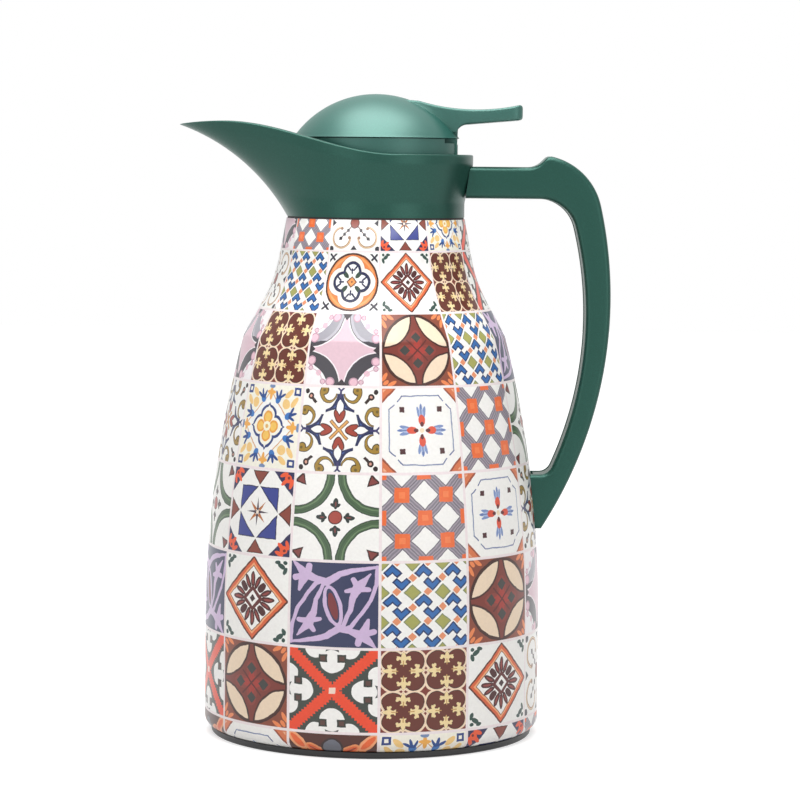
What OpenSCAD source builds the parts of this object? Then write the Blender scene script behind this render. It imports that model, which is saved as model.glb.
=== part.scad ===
// Glass-lined vacuum jug with a beak spout, a press-lever flip cap and a loop handle.
// Millimetres. The axis of the body is Z, the jug rests on z = 0, the spout points to -X
// and the handle to +X.

/* [Body] */
// Greatest diameter of the printed steel sleeve
body_d = 135; // [128:1:142]
// Height of the sleeve's top edge above the table
body_h = 207.5; // [202:0.5:220]
// Diameter of the sleeve at its top edge
neck_d = 71.6; // [70:0.2:74]
// Height at which the belly curve starts to draw in
belly_z = 46; // [40:1:52]
// Height of the shoulder, where the belly curve ends
shoulder_z = 160; // [156:1:163]
// Diameter of the sleeve at the shoulder
shoulder_d = 105.6; // [103:0.2:108]
// Lean of the shoulder cone from the vertical, in degrees
shoulder_lean = 29; // [27:0.5:32]
// Radius of the shoulder edge
shoulder_r = 5; // [3:0.5:8]
// Radius of the flare between shoulder and neck
flare_r = 60; // [45:1:64]
// Lean of the neck from the vertical, in degrees
neck_lean = 10.5; // [9:0.5:12]
// Thickness of the steel sleeve
sleeve_wall = 1; // [0.6:0.1:1.4]
// Radius of the sleeve's bottom corner
corner_r = 4; // [3:0.5:6]

/* [Base] */
// Distance of the black foot ring's edge inside the sleeve's side
foot_inset = 2.7; // [2.5:0.1:4]
// Height of the foot ring below the sleeve
foot_h = 2.7; // [2:0.1:4]
// Width of the foot ring, from its edge to the opening that the base cap screws into
foot_w = 8.8; // [7:0.2:11]
// Height of the base cap's screw wall
base_wall_h = 9; // [7:0.5:11]
// Thickness of the base plastic
base_wall = 2.4; // [2:0.1:3]
// Diameter of the twist-grip recess under the base
grip_d = 38; // [34:1:42]
// Diameter of the rubber cushion under the glass
cushion_d = 42; // [38:1:46]

/* [Glass liner] */
// Room between the double-walled glass and the sleeve's greatest radius
glass_gap = 10.5; // [10:0.5:13.5]
// Thickness of each glass wall
glass_wall = 1.5; // [1.2:0.1:1.8]
// Evacuated gap between the two walls
vacuum_gap = 3; // [2.5:0.1:3.5]
// Outer diameter of the glass neck
glass_neck_d = 53; // [52:0.2:54]
// Height of the glass bottom above the table
glass_bottom_z = 16.5; // [16:0.5:20]
// Radius of the shallow glass bottom
glass_bottom_r = 75; // [70:1:90]
// Radius of the glass corner above the bottom
glass_corner_r = 26; // [22:1:30]
// Radius of the glass shoulder
glass_shoulder_r = 50; // [46:1:52]

/* [Collar and spout] */
// Greatest diameter of the collar's round part
collar_d = 77.8; // [76.6:0.2:80]
// Height of the collar's rear rim above the sleeve
collar_h = 25.3; // [24.5:0.1:28]
// Distance of the spout tip from the axis
spout_reach = 78.9; // [74:0.5:84]
// Rise of the rim from the round part to the spout
spout_rise = 12.6; // [10:0.2:14]
// Radius of the hollow curve under the spout
spout_curve_r = 80; // [76:1:90]
// How sharply the spout narrows to its lip, seen from above
spout_taper = 7; // [5:1:9]
// Thickness of the collar wall
collar_wall = 2.2; // [1.8:0.1:2.6]

/* [Handle] */
// Distance from the greatest body radius to the grip's outer face
grip_reach = 27; // [25:0.5:32]
// Thickness of the grip, seen from the side
grip_thick = 10; // [9:0.5:11]
// Width of the handle across
handle_w = 19; // [17:0.5:22]
// Radius of the handle's rounded edges
handle_edge_r = 2.2; // [1.5:0.1:2.6]
// Height of the grip's most outward point
grip_z = 175; // [170:1:180]
// Radius of the long outer curve of the grip
grip_curve_r = 170; // [160:2:190]
// Radius of the knuckle curve at the top of the handle
crown_r = 26; // [24:0.5:28]
// Height at which the foot of the handle leaves the body
foot_top_z = 105.5; // [102:0.5:108]
// Thickness of the strip that closes the handle's inner side
strip_thick = 2; // [1.6:0.1:2.4]

/* [Stopper] */
// Diameter of the screw plug
plug_d = 48.2; // [47:0.2:49]
// Distance of the band below the cap inside the sleeve's top edge
band_inset = 3.1; // [2.8:0.1:3.8]
// Height of the band's top edge above the collar's rear rim
band_rise = 6.7; // [6:0.1:8]
// Outer diameter of the snout that reaches into the glass neck
snout_d = 36; // [34:0.5:37]
// Wall of the snout and the pour cage
snout_wall = 2.5; // [2:0.1:3]
// Pillars that carry the stopper's top
pillars = 6; // [4:1:8]

/* [Valve] */
// Diameter of the valve stem
stem_d = 5; // [4.5:0.1:5.6]
// Travel of the valve when the lever is pressed
valve_travel = 4.19; // [3.8:0.01:4.5]
// Diameter of the spring wire
wire_d = 1.1; // [0.8:0.1:1.3]
// Turns of the valve spring
spring_turns = 5; // [4:1:6]

/* [Cap] */
// Radius of the dome
dome_r = 40.3; // [39.8:0.1:41]
// Wall of the dome
dome_wall = 2; // [1.6:0.1:2.2]
// Distance of the lever's end from the axis
lever_reach = 58.3; // [54:0.5:61]
// Thickness of the lever at its end
lever_thick = 6; // [5:0.2:7]
// Width of the lever's paddle
lever_w = 22; // [18:0.5:24]
// Diameter of the hinge pin
pin_d = 2.5; // [2.2:0.1:2.8]

/* [Fits] */
// Play between parts that are pushed together and stay
seat_gap = 0.1; // [0.05:0.01:0.15]
// Play between parts that slide or turn past each other
move_gap = 0.4; // [0.3:0.05:0.5]
// Radial play of a pin or a stem in its bore
run_gap = 0.06; // [0.04:0.01:0.09]

/* [Hidden] */
$fn = 96;
far = 400;

// ---------- shared geometry ----------

// Points of an arc from angle a0 to a1, with n steps.
function arc(cx, cz, r, a0, a1, n) =
    [for (i = [0:n]) let (a = a0 + (a1 - a0) * i / n) [cx + r * cos(a), cz + r * sin(a)]];

function reverse(v) = [for (i = [len(v) - 1:-1:0]) v[i]];

// The points without any that repeats the one before it.
function distinct(v) =
    [for (i = [0:len(v) - 1]) if (i == 0 || norm(v[i] - v[max(0, i - 1)]) > 0.001) v[i]];

// Smooth step from 0 to 1.
function ease(u) = let (t = min(1, max(0, u))) t * t * (3 - 2 * t);

module cylinder_at(r, z0, z1) { translate([0, 0, z0]) cylinder(r = r, h = z1 - z0); }

module cone_at(r0, r1, z0, z1) { translate([0, 0, z0]) cylinder(r1 = r0, r2 = r1, h = z1 - z0); }

module tube(r_out, r_in, z0, z1) {
    translate([0, 0, z0]) difference() {
        cylinder(r = r_out, h = z1 - z0);
        translate([0, 0, -1]) cylinder(r = r_in, h = z1 - z0 + 2);
    }
}

// Cylinder along X from x0 to x1 at height z.
module rod_x(r, x0, x1, z) {
    translate([x0, 0, z]) rotate([0, 90, 0]) cylinder(r = r, h = x1 - x0, $fn = 48);
}

// Cylinder along Y, centred on y = 0.
module rod_y(r, w, x, z) {
    translate([x, w / 2, z]) rotate([90, 0, 0]) cylinder(r = r, h = w, $fn = 64);
}

// Profile in X and Z, extruded along Y and centred on y = 0.
module slab_y(points, w) {
    translate([0, w / 2, 0]) rotate([90, 0, 0]) linear_extrude(w) polygon(points);
}

// ---------- sleeve ----------

body_r = body_d / 2;
neck_r = neck_d / 2;
foot_r = body_r - foot_inset;
belly_drop = (body_d - shoulder_d) / 2;
belly_r = (pow(shoulder_z - belly_z, 2) + pow(belly_drop, 2)) / (2 * belly_drop);
shoulder_a = asin((shoulder_z - belly_z) / belly_r);
belly_top = [shoulder_d / 2, shoulder_z];
edge_c = belly_top - shoulder_r * [cos(shoulder_a), sin(shoulder_a)];
edge_end = edge_c + shoulder_r * [cos(shoulder_lean), sin(shoulder_lean)];
flare_dx = flare_r * (cos(shoulder_lean) - cos(neck_lean));
flare_dz = flare_r * (sin(shoulder_lean) - sin(neck_lean));
cone_len = (edge_end[0] + flare_dx - tan(neck_lean) * (body_h - edge_end[1] - flare_dz) - neck_r)
         / (sin(shoulder_lean) - tan(neck_lean) * cos(shoulder_lean));
flare_c = edge_end + cone_len * [-sin(shoulder_lean), cos(shoulder_lean)]
        + flare_r * [cos(shoulder_lean), sin(shoulder_lean)];
sleeve_turn = 4;
lip_r = foot_r - sleeve_turn;

// Meridian of the sleeve, set w inside its outer face, from the bottom corner to the top edge.
function sleeve_path(w) = concat(
    arc(body_r - corner_r, foot_h + corner_r, corner_r - w, -90, 0, 5),
    arc(body_r - belly_r, belly_z, belly_r - w, 0, shoulder_a, 16),
    arc(edge_c[0], edge_c[1], shoulder_r - w, shoulder_a, shoulder_lean, 3),
    arc(flare_c[0], flare_c[1], flare_r + w, 180 + shoulder_lean, 180 + neck_lean, 6),
    [[neck_r - w / cos(neck_lean), body_h]]);

// Outer radius of the sleeve at a height on the belly curve.
function belly_x(z) = body_r - belly_r + sqrt(belly_r * belly_r - (z - belly_z) * (z - belly_z));

module outer_shell() {
    color("white") difference() {
        rotate_extrude() polygon(concat(
            [[lip_r, foot_h]], sleeve_path(0),
            reverse(sleeve_path(sleeve_wall)), [[lip_r, foot_h + sleeve_wall]]));
        rod_x(foot_screw_r + move_gap, belly_x(foot_screw_z) - 6, far, foot_screw_z);
    }
}

// ---------- base ----------

base_bore_r = foot_r - foot_w;
base_floor_z = 1;
grip_deep = 5;
grip_floor_z = base_floor_z + grip_deep;
socket_z = grip_floor_z + base_wall;
cushion_r = cushion_d / 2;
cup_wall = 2;
cup_h = 5;
bar_w = 8;
cushion_hole_r = 5;
tail_len = 6;
foot_screw_r = 2;
foot_screw_z = 97;

module base_ring() {
    clamp_z = foot_h + sleeve_wall + seat_gap;
    color("#1c1c1e") rotate_extrude() polygon(concat(
        [[base_bore_r, 0]], arc(foot_r - 1, 1, 1, -90, 0, 3),
        [[foot_r, foot_h - seat_gap], [lip_r - seat_gap, foot_h - seat_gap],
         [lip_r - seat_gap, clamp_z], [lip_r + 1.8, clamp_z], [lip_r + 1.8, clamp_z + 1.5],
         [lip_r - 1, clamp_z + 3], [lip_r - 1, base_wall_h + 2],
         [base_bore_r, base_wall_h + 2]]));
}

module base_cap() {
    wall_r = base_bore_r - move_gap / 2;
    grip_r = grip_d / 2;
    cup_r = cushion_r + seat_gap + cup_wall;
    color("#242426") {
        rotate_extrude() polygon([
            [grip_r, base_floor_z], [wall_r, base_floor_z], [wall_r, base_wall_h],
            [wall_r - base_wall, base_wall_h], [wall_r - base_wall, base_floor_z + base_wall],
            [cup_r, base_floor_z + base_wall], [cup_r, socket_z + cup_h],
            [cup_r - cup_wall, socket_z + cup_h], [cup_r - cup_wall, socket_z], [0, socket_z],
            [0, grip_floor_z], [grip_r, grip_floor_z]]);
        // bar across the recess, for turning the cap by hand
        intersection() {
            translate([-grip_r - 1, -bar_w / 2, base_floor_z + 0.6])
                cube([2 * grip_r + 2, bar_w, grip_deep]);
            cylinder_at(grip_r + 1, base_floor_z, grip_floor_z + 0.5);
        }
    }
}

module liner_cushion() {
    cushion_a = asin(cushion_r / glass_bottom_r);
    color("#3a3a3a") rotate_extrude() polygon(concat(
        [[cushion_hole_r, socket_z], [cushion_r, socket_z]],
        reverse(arc(0, glass_bottom_z + glass_bottom_r, glass_bottom_r + seat_gap,
                    -90 + asin(cushion_hole_r / glass_bottom_r), -90 + cushion_a, 5))));
}

// ---------- glass liner ----------

glass_r = body_r - glass_gap;
glass_total = 2 * glass_wall + vacuum_gap;
glass_neck_r = glass_neck_d / 2;
lip_drop = 7.5;
lip_z = body_h - lip_drop;
bottom_a = asin((glass_r - glass_corner_r) / (glass_bottom_r - glass_corner_r));
glass_corner_z = glass_bottom_z + glass_bottom_r - (glass_bottom_r - glass_corner_r) * cos(bottom_a);
glass_lean = 50;
glass_flare_r = 18;
gasket_h = 3;
glass_neck_h = 78;
glass_shoulder_z = lip_z - glass_neck_h;
lip_c = [glass_neck_r - glass_total / 2, lip_z - glass_total / 2];
glass_edge = [glass_r - glass_shoulder_r * (1 - cos(glass_lean)),
              glass_shoulder_z + glass_shoulder_r * sin(glass_lean)];
glass_cone = (glass_edge[0] - glass_flare_r * (1 - cos(glass_lean)) - glass_neck_r) / sin(glass_lean);
glass_flare_c = glass_edge + glass_cone * [-sin(glass_lean), cos(glass_lean)]
              + glass_flare_r * [cos(glass_lean), sin(glass_lean)];

// Meridian of the glass, set w inside its outer face, from the axis to the lip.
function glass_path(w) = concat(
    arc(0, glass_bottom_z + glass_bottom_r, glass_bottom_r - w, -90, -90 + bottom_a, 6),
    arc(glass_r - glass_corner_r, glass_corner_z, glass_corner_r - w, -90 + bottom_a, 0, 6),
    arc(glass_r - glass_shoulder_r, glass_shoulder_z, glass_shoulder_r - w, 0, glass_lean, 6),
    arc(glass_flare_c[0], glass_flare_c[1], glass_flare_r + w, 180 + glass_lean, 180, 5));

// The two flasks are blown apart and fused at the lip, which rolls over from the outer one.
module outer_flask() {
    color("#cfd8dc") {
        rotate_extrude() polygon(concat(
            glass_path(0), arc(lip_c[0], lip_c[1], glass_total / 2, 0, 180, 8),
            reverse(arc(lip_c[0], lip_c[1], vacuum_gap / 2, 0, 180, 8)),
            reverse(glass_path(glass_wall))));
        // sealed tip left where the air was pumped out
        cone_at(1.2, 3.2, glass_bottom_z - tail_len, glass_bottom_z + 0.4);
    }
}

module inner_flask() {
    w = glass_wall + vacuum_gap;
    color("#dfe6e8") rotate_extrude() polygon(distinct(concat(
        glass_path(w), [[glass_neck_r - w, lip_c[1]], [glass_neck_r - glass_total, lip_c[1]]],
        reverse(glass_path(glass_total)))));
}

module neck_gasket() {
    color("#d9d9d4") rotate_extrude() difference() {
        translate([glass_neck_r - glass_total + 0.3, lip_z - 2.2])
            square([glass_total + 1.4, 2.2 + gasket_h]);
        translate(lip_c) circle(r = glass_total / 2 + seat_gap, $fn = 48);
        translate([0, lip_z - 10]) square([glass_neck_r + seat_gap, 10 - glass_total / 2]);
    }
}

// ---------- collar and spout ----------

ring_h = 0.8;
collar_z = body_h + ring_h;
collar_r = collar_d / 2;
rim_z = body_h + collar_h;
floor_h = 5.5;
floor_z = body_h + floor_h;
flange_t = 2;
flange_z = floor_z + flange_t;
band_r = neck_r - band_inset;
flange_r = band_r + move_gap;
insert_step = 3.6;
insert_r = flange_r - insert_step;
bore_r = plug_d / 2 + move_gap;
lean_h = [6.5, 22];
lean_z0 = body_h + lean_h[0];
lean_z1 = body_h + lean_h[1];
arm_h = [8.5, 21.2];
arm_low = body_h + arm_h[0];
arm_top = body_h + arm_h[1];
arm_screw_r = 2;
arm_screw_z = (arm_top + arm_low) / 2;
around = 60;
levels = 9;
pad_x = insert_r + 4;
pad_half = 7;
pad_in = 1;

// Height of the rim above the point x, with the lip drooping a little at its tip.
function rim_height(x) = rim_z + spout_rise * ease((8 - x) / 70)
                       - 1.1 * pow(max(0, (-62 - x) / (spout_reach - 62)), 2);

// Radius of the round part at a height: straight, then leaning out, then straight.
function round_r(z) = neck_r - 0.2 + (collar_r - neck_r + 0.2)
                    * min(1, max(0, (z - lean_z0) / (lean_z1 - lean_z0)));

// Distance of the spout's underside from the axis at a height: an arc through the sleeve's
// top edge and the tip.
tip_z = rim_height(-spout_reach);
chord = [spout_reach - neck_r + 0.2, tip_z - collar_z];
chord_mid = [(spout_reach + neck_r - 0.2) / 2, (tip_z + collar_z) / 2];
curve_c = chord_mid + sqrt(pow(spout_curve_r, 2) - chord * chord / 4)
        * [chord[1], -chord[0]] / norm(chord);
function under_x(z) = curve_c[0] - sqrt(pow(spout_curve_r, 2) - pow(z - curve_c[1], 2));

// Point of the collar's skin. s runs from 0 at the bottom to 1 at the rim, t is the angle from
// the spout, and w is the distance inside the outer face.
function skin(s, t, w) =
    let (pull = pow(max(0, cos(t)), spout_taper),
         rim_x = -(collar_r * cos(t) + (spout_reach - collar_r) * pull),
         z = collar_z + s * (rim_height(rim_x) - collar_z),
         r = round_r(collar_z + s * (rim_z - collar_z)) - w,
         tip = under_x(collar_z + s * (tip_z - collar_z)) - w * (1 + 1.2 * s))
    [-(r * cos(t) + max(0, tip - r) * pull), r * sin(t), z];

module collar_skin() {
    s_floor = (floor_z - collar_z) / (rim_z - collar_z);
    rings = concat(
        [for (i = [0:levels]) [i / levels, 0, 0]],
        [[1, collar_wall * 0.15, 0.35], [1, collar_wall * 0.5, 0.5], [1, collar_wall * 0.85, 0.35]],
        [for (i = [levels:-1:0]) [s_floor + (1 - s_floor) * i / levels, collar_wall, 0]]);
    n = len(rings);
    points = concat(
        [for (ring = rings) for (j = [0:around - 1])
            skin(ring[0], 360 * j / around, ring[1]) + [0, 0, ring[2]]],
        [[0, 0, collar_z], [0, 0, floor_z]]);
    walls = [for (i = [0:n - 2]) for (j = [0:around - 1]) let (k = (j + 1) % around)
        each [[i * around + j, (i + 1) * around + k, (i + 1) * around + j],
              [i * around + j, i * around + k, (i + 1) * around + k]]];
    caps = [for (j = [0:around - 1]) let (k = (j + 1) % around)
        each [[n * around, k, j], [n * around + 1, (n - 1) * around + j, (n - 1) * around + k]]];
    polyhedron(points, concat(walls, caps), convexity = 6);
}

module collar() {
    color("#3f7262") difference() {
        union() {
            collar_skin();
            tube(neck_r - 2.2, neck_r - 4.4, body_h - 7, collar_z + 1);
            // pad behind the rear wall for the handle's screw
            intersection() {
                translate([pad_x, -pad_half, lean_z0]) cube([far, 2 * pad_half, arm_top - lean_z0]);
                cone_at(round_r(lean_z0) - pad_in, round_r(lean_z1) - pad_in, lean_z0, lean_z1);
            }
        }
        translate([0, 0, collar_z - 1]) cylinder(r = insert_r + seat_gap, h = far);
        translate([0, 0, floor_z]) cylinder(r = flange_r + seat_gap, h = far);
        rod_x(arm_screw_r + 0.3, 0, far, arm_screw_z);
    }
}

// Rubber ring in the joint between sleeve and collar.
module neck_ring() {
    color("#161616") tube(neck_r - 0.4, neck_r - 2, body_h, collar_z);
}

module neck_insert() {
    color("#e4e4df") {
        tube(insert_r, bore_r, lip_z + gasket_h, flange_z);
        tube(flange_r, bore_r, floor_z, flange_z);
    }
}

// ---------- handle ----------

grip_x = body_r + grip_reach;
outer_c = [grip_x - grip_curve_r, grip_z];
inner_curve_r = grip_curve_r - 23;
inner_x = grip_x - grip_thick;
inner_z = grip_z - 6.5;
inner_c = [inner_x - inner_curve_r, inner_z];
crown_z = arm_top - 21.1;
crown_a = asin((crown_z - grip_z) / (grip_curve_r - crown_r));
crown_c = outer_c + (grip_curve_r - crown_r) * [cos(crown_a), sin(crown_a)];
hollow_r = 15;
hollow_a = asin((arm_low - hollow_r - inner_z) / (inner_curve_r - hollow_r));
hollow_c = inner_c + (inner_curve_r - hollow_r) * [cos(hollow_a), sin(hollow_a)];
heel_r = 5;
heel_a = asin((foot_top_z + heel_r - inner_z) / (inner_curve_r - heel_r));
heel_c = inner_c + (inner_curve_r - heel_r) * [cos(heel_a), sin(heel_a)];
toe_z = 83.5;
toe_a = asin((toe_z - grip_z) / grip_curve_r);
thumb_r = 2.4;
thumb_a = 78;
thumb_c = crown_c + (crown_r - thumb_r) * [cos(thumb_a), sin(thumb_a)];
dip_r = 8;
dip_x = thumb_c[0] - thumb_r * sin(45) - dip_r * sin(45)
      - (thumb_c[1] + thumb_r * cos(45) - arm_top - dip_r * (1 - cos(45)));
butt_x = insert_r + 2;
strip_edge = 3.5;
strip_w = handle_w - 2 * strip_edge;
arm_screw_len = 14;
foot_screw_len = 10;
thread_bite = 0.3;
screw_room = 0.5;
plate_t = 1.5;
plate_half = 7;
plate_in = sleeve_wall + 2 * seat_gap;
plate_x = belly_x(foot_screw_z) - plate_in - plate_t + 0.1;

// Inner side of the loop, from the collar round to the body.
inner_side = distinct(concat(
    [[butt_x, arm_low]],
    arc(hollow_c[0], hollow_c[1], hollow_r, 90, hollow_a, 8),
    arc(inner_c[0], inner_c[1], inner_curve_r, hollow_a, heel_a, 14),
    arc(heel_c[0], heel_c[1], heel_r, heel_a, -90, 5),
    [[belly_x(foot_top_z) - 4, foot_top_z]]));

// Outer side, from the body back up over the thumb rest to the collar.
outer_side = distinct(concat(
    [[belly_x(toe_z) - 4, toe_z]],
    reverse(concat(
        arc(dip_x, arm_top + dip_r, dip_r, -90, -45, 4),
        arc(thumb_c[0], thumb_c[1], thumb_r, 135, thumb_a, 4),
        arc(crown_c[0], crown_c[1], crown_r, thumb_a, crown_a, 10),
        arc(outer_c[0], outer_c[1], grip_curve_r, crown_a, toe_a, 16))),
    [[butt_x, arm_top]]));

outline = concat(inner_side, outer_side);

function unit(v) = v / norm(v);

// Closed outline moved inwards by w along the mean normal of its two edges at each point.
function inset(points, w) = let (n = len(points)) [for (i = [0:n - 1])
    let (a = unit(points[i] - points[(i + n - 1) % n]), b = unit(points[(i + 1) % n] - points[i]),
         m = unit(a + b))
    points[i] + w / max(0.5, m * b) * [-m[1], m[0]]];

// The outline drawn across the handle's width, with rounded edges.
module handle_loft() {
    n = len(outline);
    steps = 4;
    half = [for (i = [0:steps]) let (a = 90 * i / steps)
        [handle_w / 2 - handle_edge_r * (1 - sin(a)), handle_edge_r * (1 - cos(a))]];
    rings = concat([for (i = [steps:-1:0]) [-half[i][0], half[i][1]]], half);
    points = [for (ring = rings) for (p = inset(outline, ring[1])) [p[0], ring[0], p[1]]];
    m = len(rings);
    walls = [for (i = [0:m - 2]) for (j = [0:n - 1]) let (k = (j + 1) % n)
        each [[i * n + j, (i + 1) * n + k, (i + 1) * n + j], [i * n + j, i * n + k, (i + 1) * n + k]]];
    polyhedron(points, concat(walls, [[for (j = [n - 1:-1:0]) j]],
                              [[for (j = [0:n - 1]) (m - 1) * n + j]]), convexity = 8);
}

// Cuts the ends of the handle to the collar's rear and to the sleeve.
module handle_seats() {
    r0 = round_r(lean_z0) + seat_gap;
    translate([0, 0, lean_z0])
        linear_extrude(lean_z1 - lean_z0, scale = (round_r(lean_z1) + seat_gap) / r0) circle(r = r0);
    rotate_extrude() polygon(concat(
        [for (z = [toe_z - 8:6:foot_top_z + 4]) [belly_x(z) + seat_gap, z]],
        [[0, foot_top_z + 4], [0, toe_z - 8]]));
}

// Region along the handle's inner side, from depth d0 to depth d1.
module strip_band(d0, d1, w) {
    a = inset(outline, d0);
    b = inset(outline, d1);
    last = len(inner_side) - 3;
    slab_y(concat([for (i = [1:last]) a[i]], [for (i = [last:-1:1]) b[i]]), w);
}

module handle_body() {
    color("#41786a") difference() {
        handle_loft();
        handle_seats();
        strip_band(-1, strip_thick + seat_gap, strip_w + 2 * seat_gap);
        rod_x(arm_screw_r - thread_bite, 0, pad_x + arm_screw_len + screw_room, arm_screw_z);
        rod_x(foot_screw_r - thread_bite, 0, plate_x + foot_screw_len + screw_room, foot_screw_z);
    }
}

// Strip snapped into the inner side of the handle.
module handle_strip() {
    color("#37685b") strip_band(0.2, strip_thick, strip_w);
}

// Pan-head screw along X with its head at x.
module screw_x(r, x, len, z) {
    color("silver") difference() {
        union() {
            rod_x(2 * r, x - 1.6, x, z);
            rod_x(r - thread_bite - 0.05, x - 0.1, x + len, z);
        }
        // cross slot
        for (a = [0, 90]) translate([x - 1.6, 0, z]) rotate([a, 0, 0])
            cube([1.6, 0.7, 2.2 * r], center = true);
    }
}

module arm_screw() { screw_x(arm_screw_r, pad_x, arm_screw_len, arm_screw_z); }

module foot_screw() { screw_x(foot_screw_r, plate_x, foot_screw_len, foot_screw_z); }

// Washer plate bent to the inside of the sleeve, behind the foot of the handle.
module foot_plate() {
    z0 = foot_screw_z - plate_half;
    r0 = belly_x(z0) - plate_in;
    r1 = belly_x(z0 + 2 * plate_half) - plate_in;
    color("silver") difference() {
        translate([0, 0, z0]) intersection() {
            translate([0, -plate_half, 0]) cube([far, 2 * plate_half, 2 * plate_half]);
            cylinder(r1 = r0, r2 = r1, h = 2 * plate_half);
        }
        translate([0, 0, z0]) cylinder(r1 = r0 - plate_t, r2 = r1 - plate_t, h = 2 * plate_half);
        rod_x(foot_screw_r + seat_gap, 0, far, foot_screw_z);
        // flat seat for the screw's head
        rod_x(2 * foot_screw_r + seat_gap, 0, plate_x + 0.02, foot_screw_z);
    }
}

// ---------- stopper ----------

plug_r = plug_d / 2;
snout_r = snout_d / 2;
band_z = rim_z + band_rise;
snout_h = 12;
seat_z = lip_z - snout_h;
seal_h = 2;
cage_r = plug_r - 1.5;
cup_deep = 8.5;
deck_z = band_z - cup_deep;
deck_h = 2.5;
deck_top = deck_z + deck_h;
guide_r = 5.5;
guide_h = 12;
guide_z = deck_z - guide_h;
stem_r = stem_d / 2;
hinge_in = 3.7;
hinge_x = band_r - hinge_in;
hinge_z = band_z - 1.5;
knuckle_r = 3.3;
knuckle_w = 11;
ear_w = 3;
pin_r = pin_d / 2;
duct_r = snout_r - snout_wall;

cage_z = flange_z + seal_h + 2.5;
ear_gap = knuckle_w / 2 + move_gap;
ear_y = ear_gap + ear_w;

// Screw plug with the snout below it and, above its flange, a cage of windows for pouring.
module stopper_plug() {
    color("#e2e2dc") difference() {
        union() {
            tube(snout_r, duct_r, seat_z, flange_z);
            tube(plug_r, duct_r, lip_z + gasket_h + 1, flange_z + seal_h);
            tube(flange_r - 1.5, duct_r, flange_z + seal_h, cage_z);
            tube(cage_r, duct_r, cage_z - 0.1, deck_z);
        }
        for (i = [0:pillars - 1]) rotate([0, 0, 360 / pillars * (i + 0.5)]) pour_window();
    }
}

module pour_window() {
    w = 2 * cage_r * sin(180 / pillars) - 5;
    translate([duct_r - 3, -w / 2, cage_z]) cube([10, w, deck_z - cage_z - 1]);
}

// Cup welded on the cage: the deck with the stem's guide, the band and the ears of the hinge.
module stopper_band() {
    color("#35685a") difference() {
        union() {
            tube(band_r, stem_r + run_gap, deck_z, deck_top);
            tube(band_r, band_r - 2, deck_top - 0.1, band_z);
            tube(guide_r, stem_r + run_gap, guide_z, deck_z + 0.1);
            for (side = [-1, 1]) translate([0, side * (ear_gap + ear_w / 2), 0]) {
                rod_y(knuckle_r - 0.1, ear_w, hinge_x, hinge_z);
                translate([hinge_x - knuckle_r + 0.1, -ear_w / 2, deck_top - 0.1])
                    cube([2 * knuckle_r - 0.2, ear_w, hinge_z - deck_top]);
            }
        }
        // room for the knuckle of the cap to turn in the band
        rod_y(knuckle_r + move_gap, 2 * ear_gap, hinge_x, hinge_z);
        translate([hinge_x - knuckle_r, -ear_gap, hinge_z]) cube([20, 2 * ear_gap, 20]);
        // the band's rear edge is lower, where the dome's edge dips as the cap opens
        for (side = [-1, 1]) translate([hinge_x - 2, side > 0 ? ear_y : -band_r, band_z - 1.7])
            cube([20, band_r - ear_y, 10]);
        // pin bore, open at the left side only, where the pin is pushed in
        translate([hinge_x, band_r, hinge_z]) rotate([90, 0, 0])
            cylinder(r = pin_r + 0.02, h = band_r + ear_y, $fn = 64);
    }
}

// Soft washer under the stopper's flange.
module stopper_seal() {
    color("#e6e6e0") tube(flange_r - 1.5, plug_r + seat_gap, flange_z, flange_z + seal_h);
}

seat_h = 4;
seat_bore_r = 11;
disc_r = duct_r - 2.2;
disc_z = seat_z + 2;
seal_t = 1.5;

// Ring pressed into the snout, which the valve closes on.
module valve_seat() {
    color("#e4e4df") tube(duct_r - seat_gap / 2, seat_bore_r, seat_z, disc_z);
}

module valve_stem() {
    color("#dcdcd6") {
        cylinder_at(disc_r, disc_z + seal_t, disc_z + seal_t + 2);
        cylinder_at(stem_r, disc_z - 3, yoke_top + 0.3);
        cylinder_at(stem_r + 2.2, disc_z - 3, disc_z);
    }
}

module valve_seal() {
    color("#c9c9c2") tube(disc_r, stem_r + seat_gap, disc_z, disc_z + seal_t);
}

// Coil spring between the valve disc and the stem's guide.
module valve_spring() {
    z0 = disc_z + seal_t + 2 + wire_d / 2 + seat_gap;
    z1 = guide_z - wire_d / 2 - seat_gap;
    coil_r = stem_r + wire_d + 1.2;
    sides = 6;
    steps = 14 * spring_turns;
    points = concat([for (i = [0:steps]) for (j = [0:sides - 1])
        let (a = 360 * spring_turns * i / steps, b = 360 * j / sides,
             r = coil_r + wire_d / 2 * cos(b))
        [r * cos(a), r * sin(a), z0 + (z1 - z0) * i / steps + wire_d / 2 * sin(b)]]);
    walls = [for (i = [0:steps - 1]) for (j = [0:sides - 1]) let (k = (j + 1) % sides)
        each [[i * sides + j, (i + 1) * sides + j, (i + 1) * sides + k],
              [i * sides + j, (i + 1) * sides + k, i * sides + k]]];
    color("silver") polyhedron(points, concat(walls, [[for (j = [0:sides - 1]) j]],
        [[for (j = [sides - 1:-1:0]) steps * sides + j]]), convexity = 10);
}

yoke_z = hinge_z - 1.5;
yoke_h = 2.2;
yoke_top = yoke_z + yoke_h;
yoke_short = 5.5;
yoke_x = hinge_x - yoke_short;

// Bar on the stem's top that the cap's tongue lifts.
module lift_yoke() {
    color("#dcdcd6") difference() {
        union() {
            cylinder_at(stem_r + 3, yoke_z, yoke_top);
            translate([0, -4, yoke_z]) cube([yoke_x, 8, yoke_h]);
        }
        cylinder_at(stem_r + 0.02, 0, far);
    }
}

// ---------- cap ----------

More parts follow.
